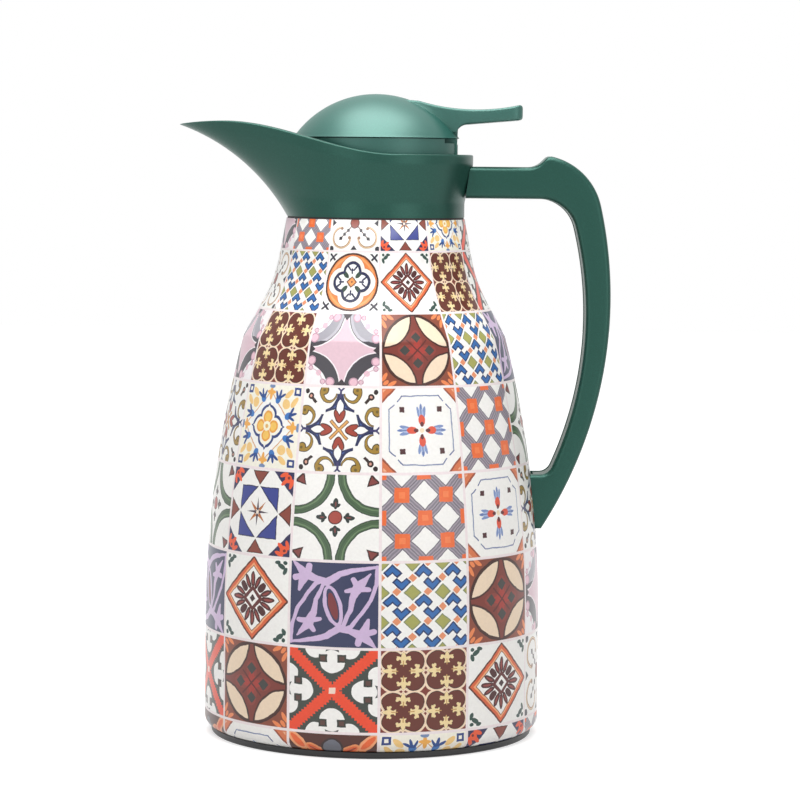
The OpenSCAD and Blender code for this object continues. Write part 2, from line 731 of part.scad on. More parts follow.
cap_z = band_z + 0.2;
edge_r = band_r + 0.6;
dome_c = cap_z - sqrt(dome_r * dome_r - edge_r * edge_r);
lever_z = dome_c + dome_r - 9.9;
nose_r = 0.9;
tongue_w = 7;
nose_x = hinge_x - valve_travel / (30 * PI / 180);
nose_z = yoke_z - 0.3 - nose_r;

// Dome profile: the outer sphere less the inner one, cut level at its edge.
module dome_profile() {
    intersection() {
        difference() {
            translate([0, dome_c]) circle(r = dome_r, $fn = 160);
            translate([0, dome_c]) circle(r = dome_r - dome_wall, $fn = 160);
        }
        translate([0, cap_z]) square([dome_r, dome_r]);
    }
}

// Side view of the lever: a hollow-backed paddle that runs up into the dome.
lever_end_r = 1.2;
lever_end_x = lever_reach - lever_end_r;
lever_bow_r = 80;
lever_bow_x = 39.5;
lever_bow_a = asin((lever_end_x - lever_bow_x) / lever_bow_r);
lever_bow_z = lever_z + 4 + lever_bow_r;
lever_top_z = lever_bow_z - lever_bow_r * cos(lever_bow_a);
root_r = 5.2;
lever_side = concat(
    arc(lever_bow_x, lever_bow_z, lever_bow_r, 253, 270 + lever_bow_a, 10),
    arc(lever_end_x, lever_top_z - lever_end_r, lever_end_r, 60, 0, 2),
    arc(lever_end_x, lever_top_z - lever_thick + lever_end_r, lever_end_r, 0, -90, 3),
    arc(36.7, lever_z - 1.9 - root_r, root_r, 88, 170, 5),
    [[hinge_x + 2.2, hinge_z + 2], [hinge_x - 1, hinge_z + 2], [11, lever_z + 3]]);

// Plan of the lever: narrow on the dome, wider at the thumb.
lever_plan = concat(
    arc(16, 0, 6, 90, 270, 8), [[hinge_x + 3, -9]],
    arc(lever_reach - 4, -lever_w / 2 + 4, 4, -90, 0, 5),
    arc(lever_reach - 4, lever_w / 2 - 4, 4, 0, 90, 5), [[hinge_x + 3, 9]]);

module flip_cap() {
    clear_r = knuckle_r + move_gap;
    ears_w = knuckle_w + 2 * (ear_w + 2 * move_gap);
    color("#48907c") difference() {
        union() {
            difference() {
                union() {
                    rotate_extrude() dome_profile();
                    intersection() {
                        slab_y(lever_side, 40);
                        linear_extrude(far) polygon(lever_plan);
                    }
                }
                translate([0, 0, dome_c]) sphere(r = dome_r - dome_wall, $fn = 160);
                rod_y(clear_r, ears_w, hinge_x, hinge_z);
                translate([hinge_x - clear_r, -ears_w / 2, hinge_z - 10])
                    cube([2 * clear_r, ears_w, 10]);
            }
            rod_y(knuckle_r, knuckle_w, hinge_x, hinge_z);
            // web from the knuckle up into the lever's root
            slab_y([[hinge_x - 1.2, hinge_z], [hinge_x + 3.1, hinge_z], [hinge_x + 3.6, hinge_z + 7],
                    [hinge_x - 1.2, hinge_z + 6.6]], knuckle_w);
            tongue();
        }
        rod_y(pin_r + run_gap, 40, hinge_x, hinge_z);
    }
}

// Arm from the knuckle to the round nose under the yoke.
module tongue() {
    slab_y(concat(arc(nose_x, nose_z, nose_r, 90, 270, 10),
                  [[hinge_x, nose_z - nose_r], [hinge_x, nose_z + nose_r + 1],
                   [nose_x + 4, nose_z + nose_r]]), tongue_w);
}

// Inner lid that closes the hollow of the dome.
module cap_liner() {
    z0 = cap_z + 0.3;
    z1 = z0 + 1.4;
    inner = dome_r - dome_wall - seat_gap;
    color("#e4e4df") difference() {
        translate([0, 0, z0]) cylinder(r1 = sqrt(pow(inner, 2) - pow(z1 - dome_c, 2)) + 0.6,
                                       r2 = sqrt(pow(inner, 2) - pow(z1 - dome_c, 2)), h = z1 - z0);
        translate([yoke_x - 12, -12, z0 - 1]) cube([40, 24, 5]);
        cylinder_at(7, z0 - 1, z1 + 1);
    }
}

module hinge_pin() {
    color("silver") rod_y(pin_r, knuckle_w + 2 * (ear_w + move_gap), hinge_x, hinge_z);
}

outer_shell();
base_ring();
base_cap();
liner_cushion();
outer_flask();
inner_flask();
neck_gasket();
neck_insert();
neck_ring();
collar();
handle_body();
handle_strip();
arm_screw();
foot_screw();
foot_plate();
stopper_plug();
stopper_band();
stopper_seal();
valve_seat();
valve_stem();
valve_seal();
valve_spring();
lift_yoke();
flip_cap();
cap_liner();
hinge_pin();
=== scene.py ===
import bpy
import bmesh
import numpy as np
from mathutils import Matrix, Vector


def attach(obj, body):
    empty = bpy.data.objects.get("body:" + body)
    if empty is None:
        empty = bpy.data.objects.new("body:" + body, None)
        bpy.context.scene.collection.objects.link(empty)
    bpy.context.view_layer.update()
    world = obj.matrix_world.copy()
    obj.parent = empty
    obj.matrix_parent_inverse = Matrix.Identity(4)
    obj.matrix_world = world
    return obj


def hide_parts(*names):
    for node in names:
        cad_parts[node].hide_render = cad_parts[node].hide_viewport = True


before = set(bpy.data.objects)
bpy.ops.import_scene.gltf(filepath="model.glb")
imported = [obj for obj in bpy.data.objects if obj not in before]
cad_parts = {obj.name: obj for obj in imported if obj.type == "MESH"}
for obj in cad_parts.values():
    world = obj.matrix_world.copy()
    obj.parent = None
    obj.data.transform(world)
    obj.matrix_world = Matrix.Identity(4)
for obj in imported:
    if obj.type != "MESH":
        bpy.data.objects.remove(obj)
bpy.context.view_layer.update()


# ---- Printed sleeve -------------------------------------------------------------------------
# A spun steel sleeve, lacquered white and wrapped with a print of old cement and glazed tiles
# in rows. The rows get lower where the sleeve draws in, because the print shrinks with it. The
# sleeve is held between the foot ring and the collar.

MM = 0.001


def arc(cx, cz, r, a0, a1, n):
    """Points of a circle arc: centre plus radius times cosine and sine, from a0 to a1 degrees."""
    a = np.radians(np.linspace(a0, a1, n + 1))
    return np.column_stack([cx + r * np.cos(a), cz + r * np.sin(a)])


def sheet_mesh(name, points, wrap_u=False, wrap_v=False, uv=None, ink=None, materials=()):
    """A grid of points (rows, columns, xyz in mm) as quads. Row i joins row i + 1 and column j joins
    column j + 1, and the last joins the first where it wraps. uv holds each quad's four corners."""
    rows, cols = points.shape[:2]
    i = np.arange(rows if wrap_u else rows - 1)[:, None]
    j = np.arange(cols if wrap_v else cols - 1)[None, :]
    i2, j2 = (i + 1) % rows, (j + 1) % cols
    quads = np.stack([i * cols + j, i * cols + j2, i2 * cols + j2, i2 * cols + j], -1).reshape(-1, 4)
    mesh = bpy.data.meshes.new(name)
    mesh.vertices.add(rows * cols)
    mesh.vertices.foreach_set("co", (points.reshape(-1) * MM).astype(np.float32))
    mesh.loops.add(quads.size)
    mesh.loops.foreach_set("vertex_index", quads.reshape(-1).astype(np.int32))
    mesh.polygons.add(len(quads))
    mesh.polygons.foreach_set("loop_start", np.arange(0, quads.size, 4, dtype=np.int32))
    for finish in materials:
        mesh.materials.append(finish)
    if ink is not None:
        mesh.polygons.foreach_set("material_index", ink.reshape(-1).astype(np.int32))
    mesh.update(calc_edges=True)
    mesh.polygons.foreach_set("use_smooth", np.ones(len(quads), bool))
    if uv is not None:
        layer = mesh.uv_layers.new(name="tile")
        layer.data.foreach_set("uv", uv.reshape(-1).astype(np.float32))
    piece = bpy.data.objects.new(name, mesh)
    bpy.context.scene.collection.objects.link(piece)
    return piece


def srgb(code):
    """Linear colour of a hex code, by the sRGB curve."""
    c = np.array([int(code[k:k + 2], 16) / 255 for k in (0, 2, 4)])
    lin = np.where(c <= 0.04045, c / 12.92, ((c + 0.055) / 1.055) ** 2.4)
    return (*lin.tolist(), 1.0)


def new_finish(name):
    """A material, its node tree, its shader, and the output of the object's own coordinates."""
    finish = bpy.data.materials.new(name)
    finish.use_nodes = True
    tree = finish.node_tree
    place = tree.nodes.new("ShaderNodeTexCoord")
    return finish, tree, tree.nodes["Principled BSDF"], place.outputs["Object"]


def put(step, **values):
    """Sets a node's sockets by name, where an underscore stands for a space."""
    for name, value in values.items():
        step.inputs[name.replace("_", " ")].default_value = value


def texture(tree, kind, place, **values):
    """The outputs of a new texture that reads place, with its sockets set by name."""
    grain = tree.nodes.new("ShaderNodeTex" + kind)
    put(grain, **values)
    tree.links.new(place, grain.inputs["Vector"])
    return grain.outputs


def graded(tree, source, low, high, target, start=0.0, stop=1.0):
    """Sends source to the socket target, with start to stop turned in proportion into low to high."""
    spread = tree.nodes.new("ShaderNodeMapRange")
    put(spread, From_Min=start, From_Max=stop, To_Min=low, To_Max=high)
    tree.links.new(source, spread.inputs["Value"])
    tree.links.new(spread.outputs[0], target)


class Field:
    """A number that varies over a tile, kept as a socket of the tile's node tree. Arithmetic on it
    adds a Math node. Masks are fields of 0 and 1: & is both, | is either."""
    tree = None

    def __init__(self, socket):
        self.socket = socket

    @staticmethod
    def math(kind, *terms):
        """The field that one Math node of this kind makes of fields and plain numbers."""
        step = Field.tree.nodes.new("ShaderNodeMath")
        step.operation = kind
        for slot, term in zip(step.inputs, terms):
            if isinstance(term, Field):
                Field.tree.links.new(term.socket, slot)
            else:
                slot.default_value = term
        return Field(step.outputs[0])

    def __add__(self, other):
        return Field.math("ADD", self, other)

    def __sub__(self, other):
        return Field.math("SUBTRACT", self, other)

    def __rsub__(self, other):
        return Field.math("SUBTRACT", other, self)

    def __mul__(self, other):
        return Field.math("MULTIPLY", self, other)

    def __abs__(self):
        return Field.math("ABSOLUTE", self)

    def __lt__(self, other):
        return Field.math("LESS_THAN", self, other)

    def __gt__(self, other):
        return Field.math("GREATER_THAN", self, other)

    def __and__(self, other):
        return Field.math("MULTIPLY", self, other)

    def __or__(self, other):
        return Field.math("MAXIMUM", self, other)


class Glaze:
    """The colours of one tile, laid one over the other: each coat covers what its mask marks."""

    def __init__(self, ground):
        self.coat = None
        self.ground = srgb(ground)

    def lay(self, mask, colour):
        """Mixes the coat so far with a colour, by the mask."""
        step = Field.tree.nodes.new("ShaderNodeMix")
        step.data_type = "RGBA"
        if self.coat is None:
            step.inputs[6].default_value = self.ground
        else:
            Field.tree.links.new(self.coat, step.inputs[6])
        step.inputs[7].default_value = srgb(colour)
        Field.tree.links.new(mask.socket, step.inputs[0])
        self.coat = step.outputs[2]
        return self


def larger(a, b):
    """The larger of two fields."""
    return Field.math("MAXIMUM", a, b)


def smaller(a, b):
    """The smaller of two fields."""
    return Field.math("MINIMUM", a, b)


def between(t, low, high):
    """Where t is more than low and less than high."""
    return (t > low) & (t < high)


def away(x, y, cx=0.0, cy=0.0):
    """Distance from the point (cx, cy)."""
    dx, dy = x - cx, y - cy
    return Field.math("SQRT", dx * dx + dy * dy)


def leaf(x, y, cx, cy, length, width, turn=0.0):
    """Inside an ellipse about (cx, cy), its long axis turned by turn degrees."""
    c, s = float(np.cos(np.radians(turn))), float(np.sin(np.radians(turn)))
    dx, dy = x - cx, y - cy
    along = (dx * c + dy * s) * (1 / length)
    across = (dy * c - dx * s) * (1 / width)
    return (along * along + across * across) < 1.0


def repeat(t, period, centre=0.0):
    """t counted from the nearest of the marks that lie one period apart."""
    return Field.math("WRAP", t - centre, period / 2, -period / 2)


def line(x, y, x0, y0, x1, y1, start, end=None):
    """A stroke from (x0, y0) to (x1, y1), its half width going from start to end."""
    dx, dy = x1 - x0, y1 - y0
    share = ((x - x0) * dx + (y - y0) * dy) * (1 / (dx * dx + dy * dy))
    share = smaller(larger(share, 0.0), 1.0)
    half = start if end is None else share * (end - start) + start
    return away(x - share * dx, y - share * dy, x0, y0) < half


def trail(x, y, points, halves):
    """Strokes from point to point, each end as wide as halves says."""
    mask = None
    for (x0, y0), (x1, y1), start, end in zip(points, points[1:], halves, halves[1:]):
        part = line(x, y, x0, y0, x1, y1, start, end)
        mask = part if mask is None else mask | part
    return mask


def brush(x, y, cx, cy, r, start, sweep, w0, w1):
    """A stroke along a circle about (cx, cy): from the angle start it turns by sweep degrees, and
    its half width goes from w0 to w1."""
    turn = Field.math("ARCTAN2", y - cy, x - cx) - float(np.radians(start))
    share = Field.math("WRAP", turn, float(2 * np.pi), 0.0) * float(1 / np.radians(sweep))
    return (share < 1.0) & (abs(away(x, y, cx, cy) - r) < (share * (w1 - w0) + w0))


def fold(x, y):
    """The tile folded: its distances from the two axes, then the larger and the smaller of them."""
    ax, ay = abs(x), abs(y)
    return ax, ay, larger(ax, ay), smaller(ax, ay)


# Each motif draws one tile, whose x and y run from -1 to 1, in strokes of tile units.
white = "FCFAF6"


def petal_circle(x, y):
    """Four cream petals where a circle overlaps circles about the corners, on a brown ground."""
    ax, ay, m, n = fold(x, y)
    big, corner = away(x, y), away(ax, ay, 1.0, 1.0)
    tile = Glaze("8A4632")
    tile.lay(leaf(m, n, 0.93, 0.74, 0.14, 0.05, 60) | leaf(m, n, 0.90, 0.90, 0.09, 0.05, 45), "EE8A55")
    tile.lay(big < 1.0, "3E1C14").lay(big < 0.95, "7C3328")
    tile.lay((corner < 0.95) & (big < 0.97), "3E1C14").lay((corner < 0.90) & (big < 0.92), "F7DFC3")
    tile.lay(leaf(m, n, 0.30, 0.0, 0.26, 0.16), "8C3A30")
    tile.lay((big < 0.19) | (m + n * 4.0 < 0.52), "A8392F")
    tile.lay((abs(m - 0.36) + n) < 0.15, "3A3935")
    return tile.lay((abs(ax - ay) < 0.03) & (m < 0.30), "5A211C")


def basket(x, y):
    """White diagonal weave with blue chevrons up and down, green squares and small orange squares,
    repeated about three times each way."""
    period = 0.70
    x, y = x + 0.31, y - 0.31
    tile = Glaze(white)
    square = abs(repeat(x, period)) + abs(repeat(y, period))
    tile.lay(square < 0.20, "7F8B66").lay(square < 0.165, "A9A75A")
    for tip_x, tip_y, way in ((0.254, -0.015, -1.0), (-0.246, 0.03, 1.0)):
        side = abs(repeat(x, period, tip_x))
        run = Field.math("WRAP", (y - tip_y) * way, period, 0.0)
        tile.lay((run > side) & ((run - side) < 0.225) & ((run + side) < 0.44), "1F2D5C")
        tile.lay(between(run - side, 0.045, 0.18) & ((run + side) < 0.385), "2F6AAE")
    for cx, cy in ((0.0, 0.35), (0.35, 0.02)):
        tile.lay((abs(repeat(x, period, cx)) + abs(repeat(y, period, cy))) < 0.10, "E8956A")
    return tile


def fleur_trellis(x, y):
    """Two by two brown clouds of four lobes, each with a cross of cream lilies and edged by fine
    cream lines, with red diamonds where they meet."""
    u, v, m, n = fold(repeat(x, 1.0, 0.5), repeat(y, 1.0, 0.5))
    cloud = smaller(away(u, v, 0.235, 0.235) - 0.205, (u + v) - 0.42)
    tile = Glaze("7E3429")
    tile.lay(cloud < 0.09, "F6DDC0").lay(cloud < 0.04, "44190F").lay(cloud < 0.02, "642A1C")
    tile.lay(leaf(m, n, 0.30, 0.0, 0.15, 0.055) | leaf(m, n, 0.31, 0.075, 0.085, 0.036, 62)
             | (away(m, n, 0.285, 0.13) < 0.035) | leaf(m, n, 0.19, 0.03, 0.05, 0.022, 120), "F4DDA6")
    return tile.lay((n < 0.012) & between(m, 0.12, 0.26), "C79A5C")


def snowflake(x, y):
    """An orange diamond frame with a dark edge, round a flake of dark petals."""
    ax, ay, m, n = fold(x, y)
    span = ax + ay
    tile = Glaze(white)
    tile.lay(between(span, 0.93, 1.02), "5B2A1C").lay(between(span, 0.86, 0.96), "E2673A")
    tile.lay(between(span, 0.80, 0.86), "F4AE7C").lay(between(span, 0.775, 0.80), "6B2C1E")
    tile.lay(leaf(m, n, 0.45, 0.0, 0.20, 0.07) | leaf(m, n, 0.39, 0.15, 0.18, 0.065, 26)
             | leaf(m, n, 0.29, 0.26, 0.14, 0.065, 46), "461615")
    tile.lay(leaf(m, n, 0.46, 0.0, 0.13, 0.028) | leaf(m, n, 0.39, 0.15, 0.11, 0.024, 26), "94403A")
    tile.lay(span < 0.31, "5E221E").lay(span < 0.19, white).lay(span < 0.09, "3A2220")
    return tile.lay(leaf(ax, ay, 0.80, 0.84, 0.11, 0.06, -35) | leaf(ax, ay, 0.90, 0.72, 0.09, 0.05, 70)
                    | leaf(ax, ay, 0.70, 0.93, 0.08, 0.045, 10)
                    | (away(ax, ay, 0.90, 0.92) < 0.05), "2F4A42")


def red_cross(x, y):
    """A red cross of saw-edged bands, and white lobes with dark squares between the bands."""
    ax, ay, m, n = fold(x, y)
    square = larger(abs(m - 0.79), abs(n - 0.21))
    tile = Glaze("3B423B")
    tile.lay((away(m, n, 0.71, 0.0) < 0.28) | (away(m, n, 1.02, 0.38) < 0.235), white)
    tile.lay(square < 0.095, "33372F").lay(square < 0.055, "5A3B33")
    tooth = abs(repeat(ax + ay, 0.12)) * 1.2
    tile.lay(abs(ax - ay) < (0.215 - tooth), "F04E2E")
    return tile.lay(m < 0.075, "F8DCCB")


def green_rings(x, y):
    """Green brushed quarter rings about the corners, a red dot with four dark leaves between them."""
    ax, ay, m, n = fold(x, y)
    corner, dot, along, off = away(ax, ay, 1.0, 1.0), away(x, y), ax + ay, abs(ax - ay)
    tile = Glaze(white)
    tile.lay(between(corner, 0.76, 0.97), "2D3F30").lay(between(corner, 0.785, 0.945), "4C6547")
    tile.lay(between(corner, 0.81, 0.84), "6A855F").lay(between(corner, 0.885, 0.91), "40583E")
    tile.lay(leaf(m, n, 0.32, 0.0, 0.13, 0.06) | leaf(m, n, 0.28, 0.06, 0.07, 0.04, 60), "26302C")
    tile.lay(leaf(m, n, 0.31, 0.0, 0.06, 0.018), "7A3A36")
    tile.lay(dot < 0.165, "4A1F1C").lay(dot < 0.14, "A8473B")
    tile.lay((off < ((along - 1.44) * 0.55)) & (along < 1.86), "3A201E")
    return tile.lay((off < ((along - 1.52) * 0.5)) & (along < 1.80), "84403A")


def star_triangles(x, y):
    """Blue triangles round a white diamond with a star of eight rays, brown and red at the edge."""
    ax, ay, m, n = fold(x, y)
    span, off = ax + ay, abs(ax - ay)
    tile = Glaze(white)
    tile.lay((m < 0.61) & (span > 0.63), "26274A").lay((m < 0.585) & (span > 0.67), "3C4690")
    tile.lay(((m - 0.64) > (n * 1.25)) & (m < 0.98), "4A2320")
    tile.lay(((m - 0.68) > (n * 1.32)) & (m < 0.96), "8A4436")
    tile.lay(span > 1.42, "2D2B52")
    tile.lay((away(ax, ay, 0.84, 0.84) < 0.10) | leaf(m, n, 0.93, 0.72, 0.12, 0.05, 70)
             | leaf(ax, ay, 0.76, 0.76, 0.12, 0.05, 45), "F0603A")
    tile.lay(away(ax, ay, 0.86, 0.86) < 0.035, "7A2A20")
    tile.lay(((span + off * 6.5) < 0.50) & (span > 0.10), "B8703E").lay((m + n * 9.0) < 0.36, "4A3A48")
    return tile.lay(away(x, y) < 0.045, "F6E6D6")


def lattice(x, y):
    """Grey straps at 45 degrees, streaked by the brush, with an orange square on each crossing."""
    period = 1.07
    tile = Glaze(white)
    for across in (abs(repeat(x + y, period)), abs(repeat(x - y, period))):
        tile.lay(across < 0.205, "6A6470").lay(across < 0.17, "A59CA6")
        tile.lay(abs(across - 0.09) < 0.03, "857D88").lay(across < 0.02, "77707A")
    u, v = abs(repeat(x, period)), abs(repeat(y, period))
    u2, v2 = abs(repeat(x, period, period / 2)), abs(repeat(y, period, period / 2))
    crossing = smaller(larger(u, v), larger(u2, v2))
    return tile.lay(crossing < 0.175, "F0713C").lay(crossing < 0.07, "F5844E")


def octagon(x, y):
    """Orange corners, four fine blue brackets and a cross of four small tulips."""
    ax, ay, m, n = fold(x, y)
    span = ax + ay
    tile = Glaze(white)
    tile.lay(span > 1.64, "9A4A34").lay(span > 1.70, "DB7A50").lay((span > 1.86) & (m < 0.97), "F0B592")
    tile.lay((abs(m - 0.82) < 0.015) & (n < 0.50), "7F8AAE")
    tile.lay(line(m, n, 0.82, 0.50, 0.69, 0.61, 0.015), "5E6A94")
    spot = larger(abs(ax - 0.50), abs(ay - 0.50)) < 0.065
    tile.lay(spot & (smaller(abs(ax - ay), abs(span - 1.0)) < 0.055), "4A2426")
    tile.lay(leaf(m, n, 0.44, 0.0, 0.19, 0.045) | leaf(m, n, 0.42, 0.07, 0.15, 0.04, 14), "7D93C4")
    tile.lay(leaf(m, n, 0.40, 0.0, 0.12, 0.06), "A9BADC")
    tile.lay((n < 0.012) & between(m, 0.36, 0.60), "5A6FA8")
    tile.lay(leaf(m, n, 0.25, 0.0, 0.13, 0.085), "E0553A").lay(leaf(m, n, 0.15, 0.0, 0.06, 0.045), "5E1E20")
    return tile.lay(away(x, y) < 0.06, "F6E3C2")


def quatrefoil(x, y):
    """A blue ogee of four lobes round a yellow flower, in a white diamond with blue tulips outside."""
    ax, ay, m, n = fold(x, y)
    tile = Glaze("FBF6E8")
    tile.lay(leaf(m, n, 0.80, 0.60, 0.15, 0.07, 50) | (away(ax, ay, 0.55, 0.55) < 0.12), "F6CE86")
    tile.lay((ax + ay) < 0.86, "DDA878").lay((ax + ay) < 0.82, white)
    tile.lay(leaf(m, n, 0.80, 0.0, 0.17, 0.055) | leaf(m, n, 0.82, 0.0, 0.05, 0.15), "F3B155")
    tile.lay(leaf(m, n, 0.97, 0.0, 0.05, 0.10), "7890B8")
    tile.lay(leaf(m, n, 0.66, 0.27, 0.11, 0.085, 25), "3C78C0")
    tile.lay(leaf(m, n, 0.78, 0.31, 0.12, 0.035, 15) | leaf(m, n, 0.74, 0.39, 0.12, 0.035, 60)
             | leaf(m, n, 0.76, 0.21, 0.11, 0.032, -25), "29498A")
    lobe = smaller(away(m, n, 0.25, 0.0) - 0.24, (m + n * 1.6) - 0.55)
    tile.lay(lobe < 0.035, "2A3F7C").lay(lobe < -0.03, "FDF8EA")
    petal, heart = away(m, n, 0.22, 0.0), away(x, y)
    tile.lay(petal < 0.15, "EFA748").lay(petal < 0.10, "F8C966")
    tile.lay(heart < 0.12, "FDF6DC").lay(heart < 0.05, "E9B86A")
    return tile.lay(between(larger(abs(ax - 0.86), abs(ay - 0.86)), 0.045, 0.10), "2F4480")


def scroll_star(x, y):
    """A navy star of four barbed arms, red petals, eight olive curls and beaded corners."""
    ax, ay, m, n = fold(x, y)
    off, along = abs(ax - ay), ax + ay
    tile = Glaze(white)
    for w0, w1, knob, colour in ((0.07, 0.018, 0.115, "3F3423"), (0.05, 0.006, 0.09, "A38234")):
        tile.lay(brush(m, n, 0.87, 0.30, 0.20, 50, 218, w0, w1) | (away(m, n, 0.93, 0.43) < knob), colour)
    tile.lay(away(m, n, 0.94, 0.44) < 0.035, "6B5A2A")
    hollow = away(m, n, 0.87, 0.49)
    edge = m + n * 0.30
    tile.lay((hollow > 0.41) & (edge > 0.52) & (m < 0.86) & (n < 0.37), "262C55")
    tile.lay((hollow > 0.47) & (edge > 0.57) & (m < 0.66) & (n > 0.08), "3F5FA6")
    bulge = (m - 0.535) * (m - 0.535) * 2.4
    tile.lay((n + bulge) < 0.125, "262C55").lay((n + bulge) < 0.088, white)
    tile.lay(((n < 0.028) & between(m, 0.76, 0.97)) | line(m, n, 0.93, 0.0, 1.0, 0.07, 0.022), "3A3566")
    tile.lay(leaf(m, n, 0.32, 0.06, 0.17, 0.075, 22), "4F1F1C")
    tile.lay(leaf(m, n, 0.32, 0.055, 0.145, 0.052, 22), "A3412F")
    tile.lay((off < 0.06) & (along < 0.44), "6E3F22").lay((off < 0.035) & (along < 0.42), "E3AA62")
    tile.lay((off < 0.05) & between(along, 1.28, 1.50), "33221F")
    tile.lay(away(ax, ay, 0.79, 0.79) < 0.08, "33221F").lay(away(ax, ay, 0.79, 0.79) < 0.035, "D9A08C")
    return tile.lay(away(ax, ay, 0.91, 0.91) < 0.06, "2A1E1E")


def pink_star(x, y):
    """A pink star with hollow sides, and thick grey crescents about the corners: pale above, dark
    below, with pink curls at their ends."""
    ax, ay, m, n = fold(x, y)
    corner, inner = away(ax, ay, 1.0, 1.0), away(ax, ay, 1.22, 1.22)
    tile = Glaze("E4C3CE")
    tile.lay(corner < 0.96, "F8EEF1").lay(corner < 0.925, "47444A")
    tile.lay((corner < 0.90) & (y > 0.0) & (ay > 0.24), "BDBAC2")
    tile.lay((corner < 0.82) & (y > 0.0) & (ay > 0.22), "A4A1AA").lay(inner < 0.87, "FAF5F6")
    curl, bud = away(m, n, 0.90, 0.32), away(m, n, 0.90, 0.52)
    tile.lay((curl < 0.13) | (bud < 0.075), "C79AAB")
    tile.lay((curl < 0.095) | (bud < 0.045) | (away(ax, ay, 0.66, 0.66) < 0.08), "EBC3D0")
    tile.lay(abs(corner - 0.48) < 0.014, "DCC3CC")
    return tile.lay((m - 0.82) > (n * 1.1), "3A3036")


def circle_flower(x, y):
    """A dark circle with orange crescents in it, round a navy flower of four lobes."""
    ax, ay, m, n = fold(x, y)
    big, off, span, round_off = away(x, y), abs(ax - ay), ax + ay, away(m, n, 0.40, 0.0)
    tile = Glaze(white)
    tile.lay(((off < 0.05) | (abs(span - 1.64) < 0.045)) & (big > 1.02) & (m < 0.95), "2E2A38")
    tile.lay(big < 0.98, "4A2018").lay(big < 0.915, "EC8A48")
    tile.lay(between(big, 0.80, 0.87) & (off < 0.5), "F4A868")
    tile.lay(round_off < 0.485, "C9703C").lay(round_off < 0.465, "FBF4EA")
    lobe = away(m, n, 0.345, 0.0) - 0.31
    tile.lay(lobe < 0.04, "22264A").lay(lobe < -0.06, white)
    tile.lay((abs(n - (m - 0.33) * 0.85) < 0.04) & (m > 0.38) & (lobe < 0.0), "22264A")
    tile.lay((n < 0.03) & between(m, 0.28, 0.46), "22264A")
    tile.lay(leaf(ax, ay, 0.25, 0.25, 0.16, 0.075, 45) & (lobe < -0.03), "2F4436")
    return tile.lay(span < 0.20, "6A3426").lay(span < 0.15, "F0A05C").lay(big < 0.03, "7A3A26")


def beads(x, y):
    """A red-brown dot, beaded spokes towards the corners and a fine brown C round each spoke."""
    ax, ay, m, n = fold(x, y)
    off, along, dot = abs(ax - ay), ax + ay, away(x, y)
    tile = Glaze(white)
    tile.lay(brush(ax, ay, 0.53, 0.53, 0.36, 268, 274, 0.04, 0.04), "A9805E")
    tile.lay(brush(ax, ay, 0.53, 0.53, 0.37, 268, 274, 0.014, 0.014), "E9CDA6")
    tile.lay(away(m, n, 0.53, 0.20) < 0.06, "8A6242")
    tile.lay((off < 0.03) & (along < 1.16), "6E3A34")
    bead = off + abs(repeat(along, 0.30, 0.52)) * 0.8
    tile.lay((bead < 0.11) & between(along, 0.36, 1.26), "2A2228")
    tile.lay((((m - 0.80) > (n * 1.3)) & (m < 0.97)) | (away(ax, ay, 0.94, 0.94) < 0.10), "35333B")
    return tile.lay(dot < 0.20, "4E2620").lay(dot < 0.165, "93483C")


def orange_floral(x, y):
    """Orange petals and leaves on brown round grey discs."""
    ax, ay, m, n = fold(x, y)
    disc, heart = away(m, n, 0.66, 0.0), away(x, y)
    tile = Glaze("4F261D")
    for length, width, colour in ((0.28, 0.13, "F6A878"), (0.22, 0.07, "EE6B3A")):
        tile.lay(leaf(ax, ay, 0.80, 0.80, length, width, 45), colour)
    for length, width, colour in ((0.28, 0.13, "F49A64"), (0.23, 0.08, "EC6B3C"), (0.20, 0.02, "9A3A22")):
        tile.lay(leaf(m, n, 0.58, 0.37, length, width, 58), colour)
    tile.lay(disc < 0.25, "33211E").lay(disc < 0.205, "6B6D77")
    return tile.lay(heart < 0.23, "F07A48").lay(heart < 0.13, "4F261D")


def lavender_scroll(x, y):
    """Lavender stems, lilies and sprouts on navy, the same after half a turn, round a red seed.
    The half is told by the sign of a line's equation through the seed."""
    side = Field.math("SIGN", x * 0.97 + y * 0.24)
    u, v = x * side, y * side
    tile = Glaze("2F3557")
    stems = leaf(x, y, 0.0, -0.02, 0.50, 0.205, 104)
    for points, halves in (
            ([(-0.16, 0.53), (0.15, 0.74), (0.45, 0.83), (0.98, 0.92)], [0.09, 0.07, 0.06, 0.03]),
            ([(0.97, 0.92), (0.95, 0.49), (0.83, 0.12), (0.60, -0.23), (0.39, -0.50), (0.26, -0.57)],
             [0.04, 0.045, 0.045, 0.045, 0.05, 0.06]),
            ([(0.14, -0.54), (0.37, -0.60), (0.67, -0.72), (0.95, -1.0)], [0.09, 0.075, 0.12, 0.02]),
            ([(0.66, -0.70), (0.79, -0.33)], [0.13, 0.035]), ([(0.60, -0.74), (0.56, -0.90)], [0.08, 0.07]),
            ([(0.72, -0.66), (0.90, -0.61)], [0.08, 0.07]),
            ([(0.22, -0.50), (0.39, -0.11), (0.43, 0.19), (0.55, 0.44), (0.82, 0.75)],
             [0.04, 0.05, 0.075, 0.12, 0.02]),
            ([(0.53, 0.40), (0.29, 0.34)], [0.07, 0.045]), ([(0.53, 0.46), (0.44, 0.62)], [0.08, 0.05]),
            ([(0.57, 0.40), (0.78, 0.38)], [0.07, 0.06])):
        stems = stems | trail(u, v, points, halves)
    tile.lay(stems, "D3BADC").lay(leaf(x, y, 0.0, -0.02, 0.42, 0.115, 104), "2F3557")
    return tile.lay(leaf(x, y, 0.0, -0.03, 0.33, 0.085, 104), "7A3034")


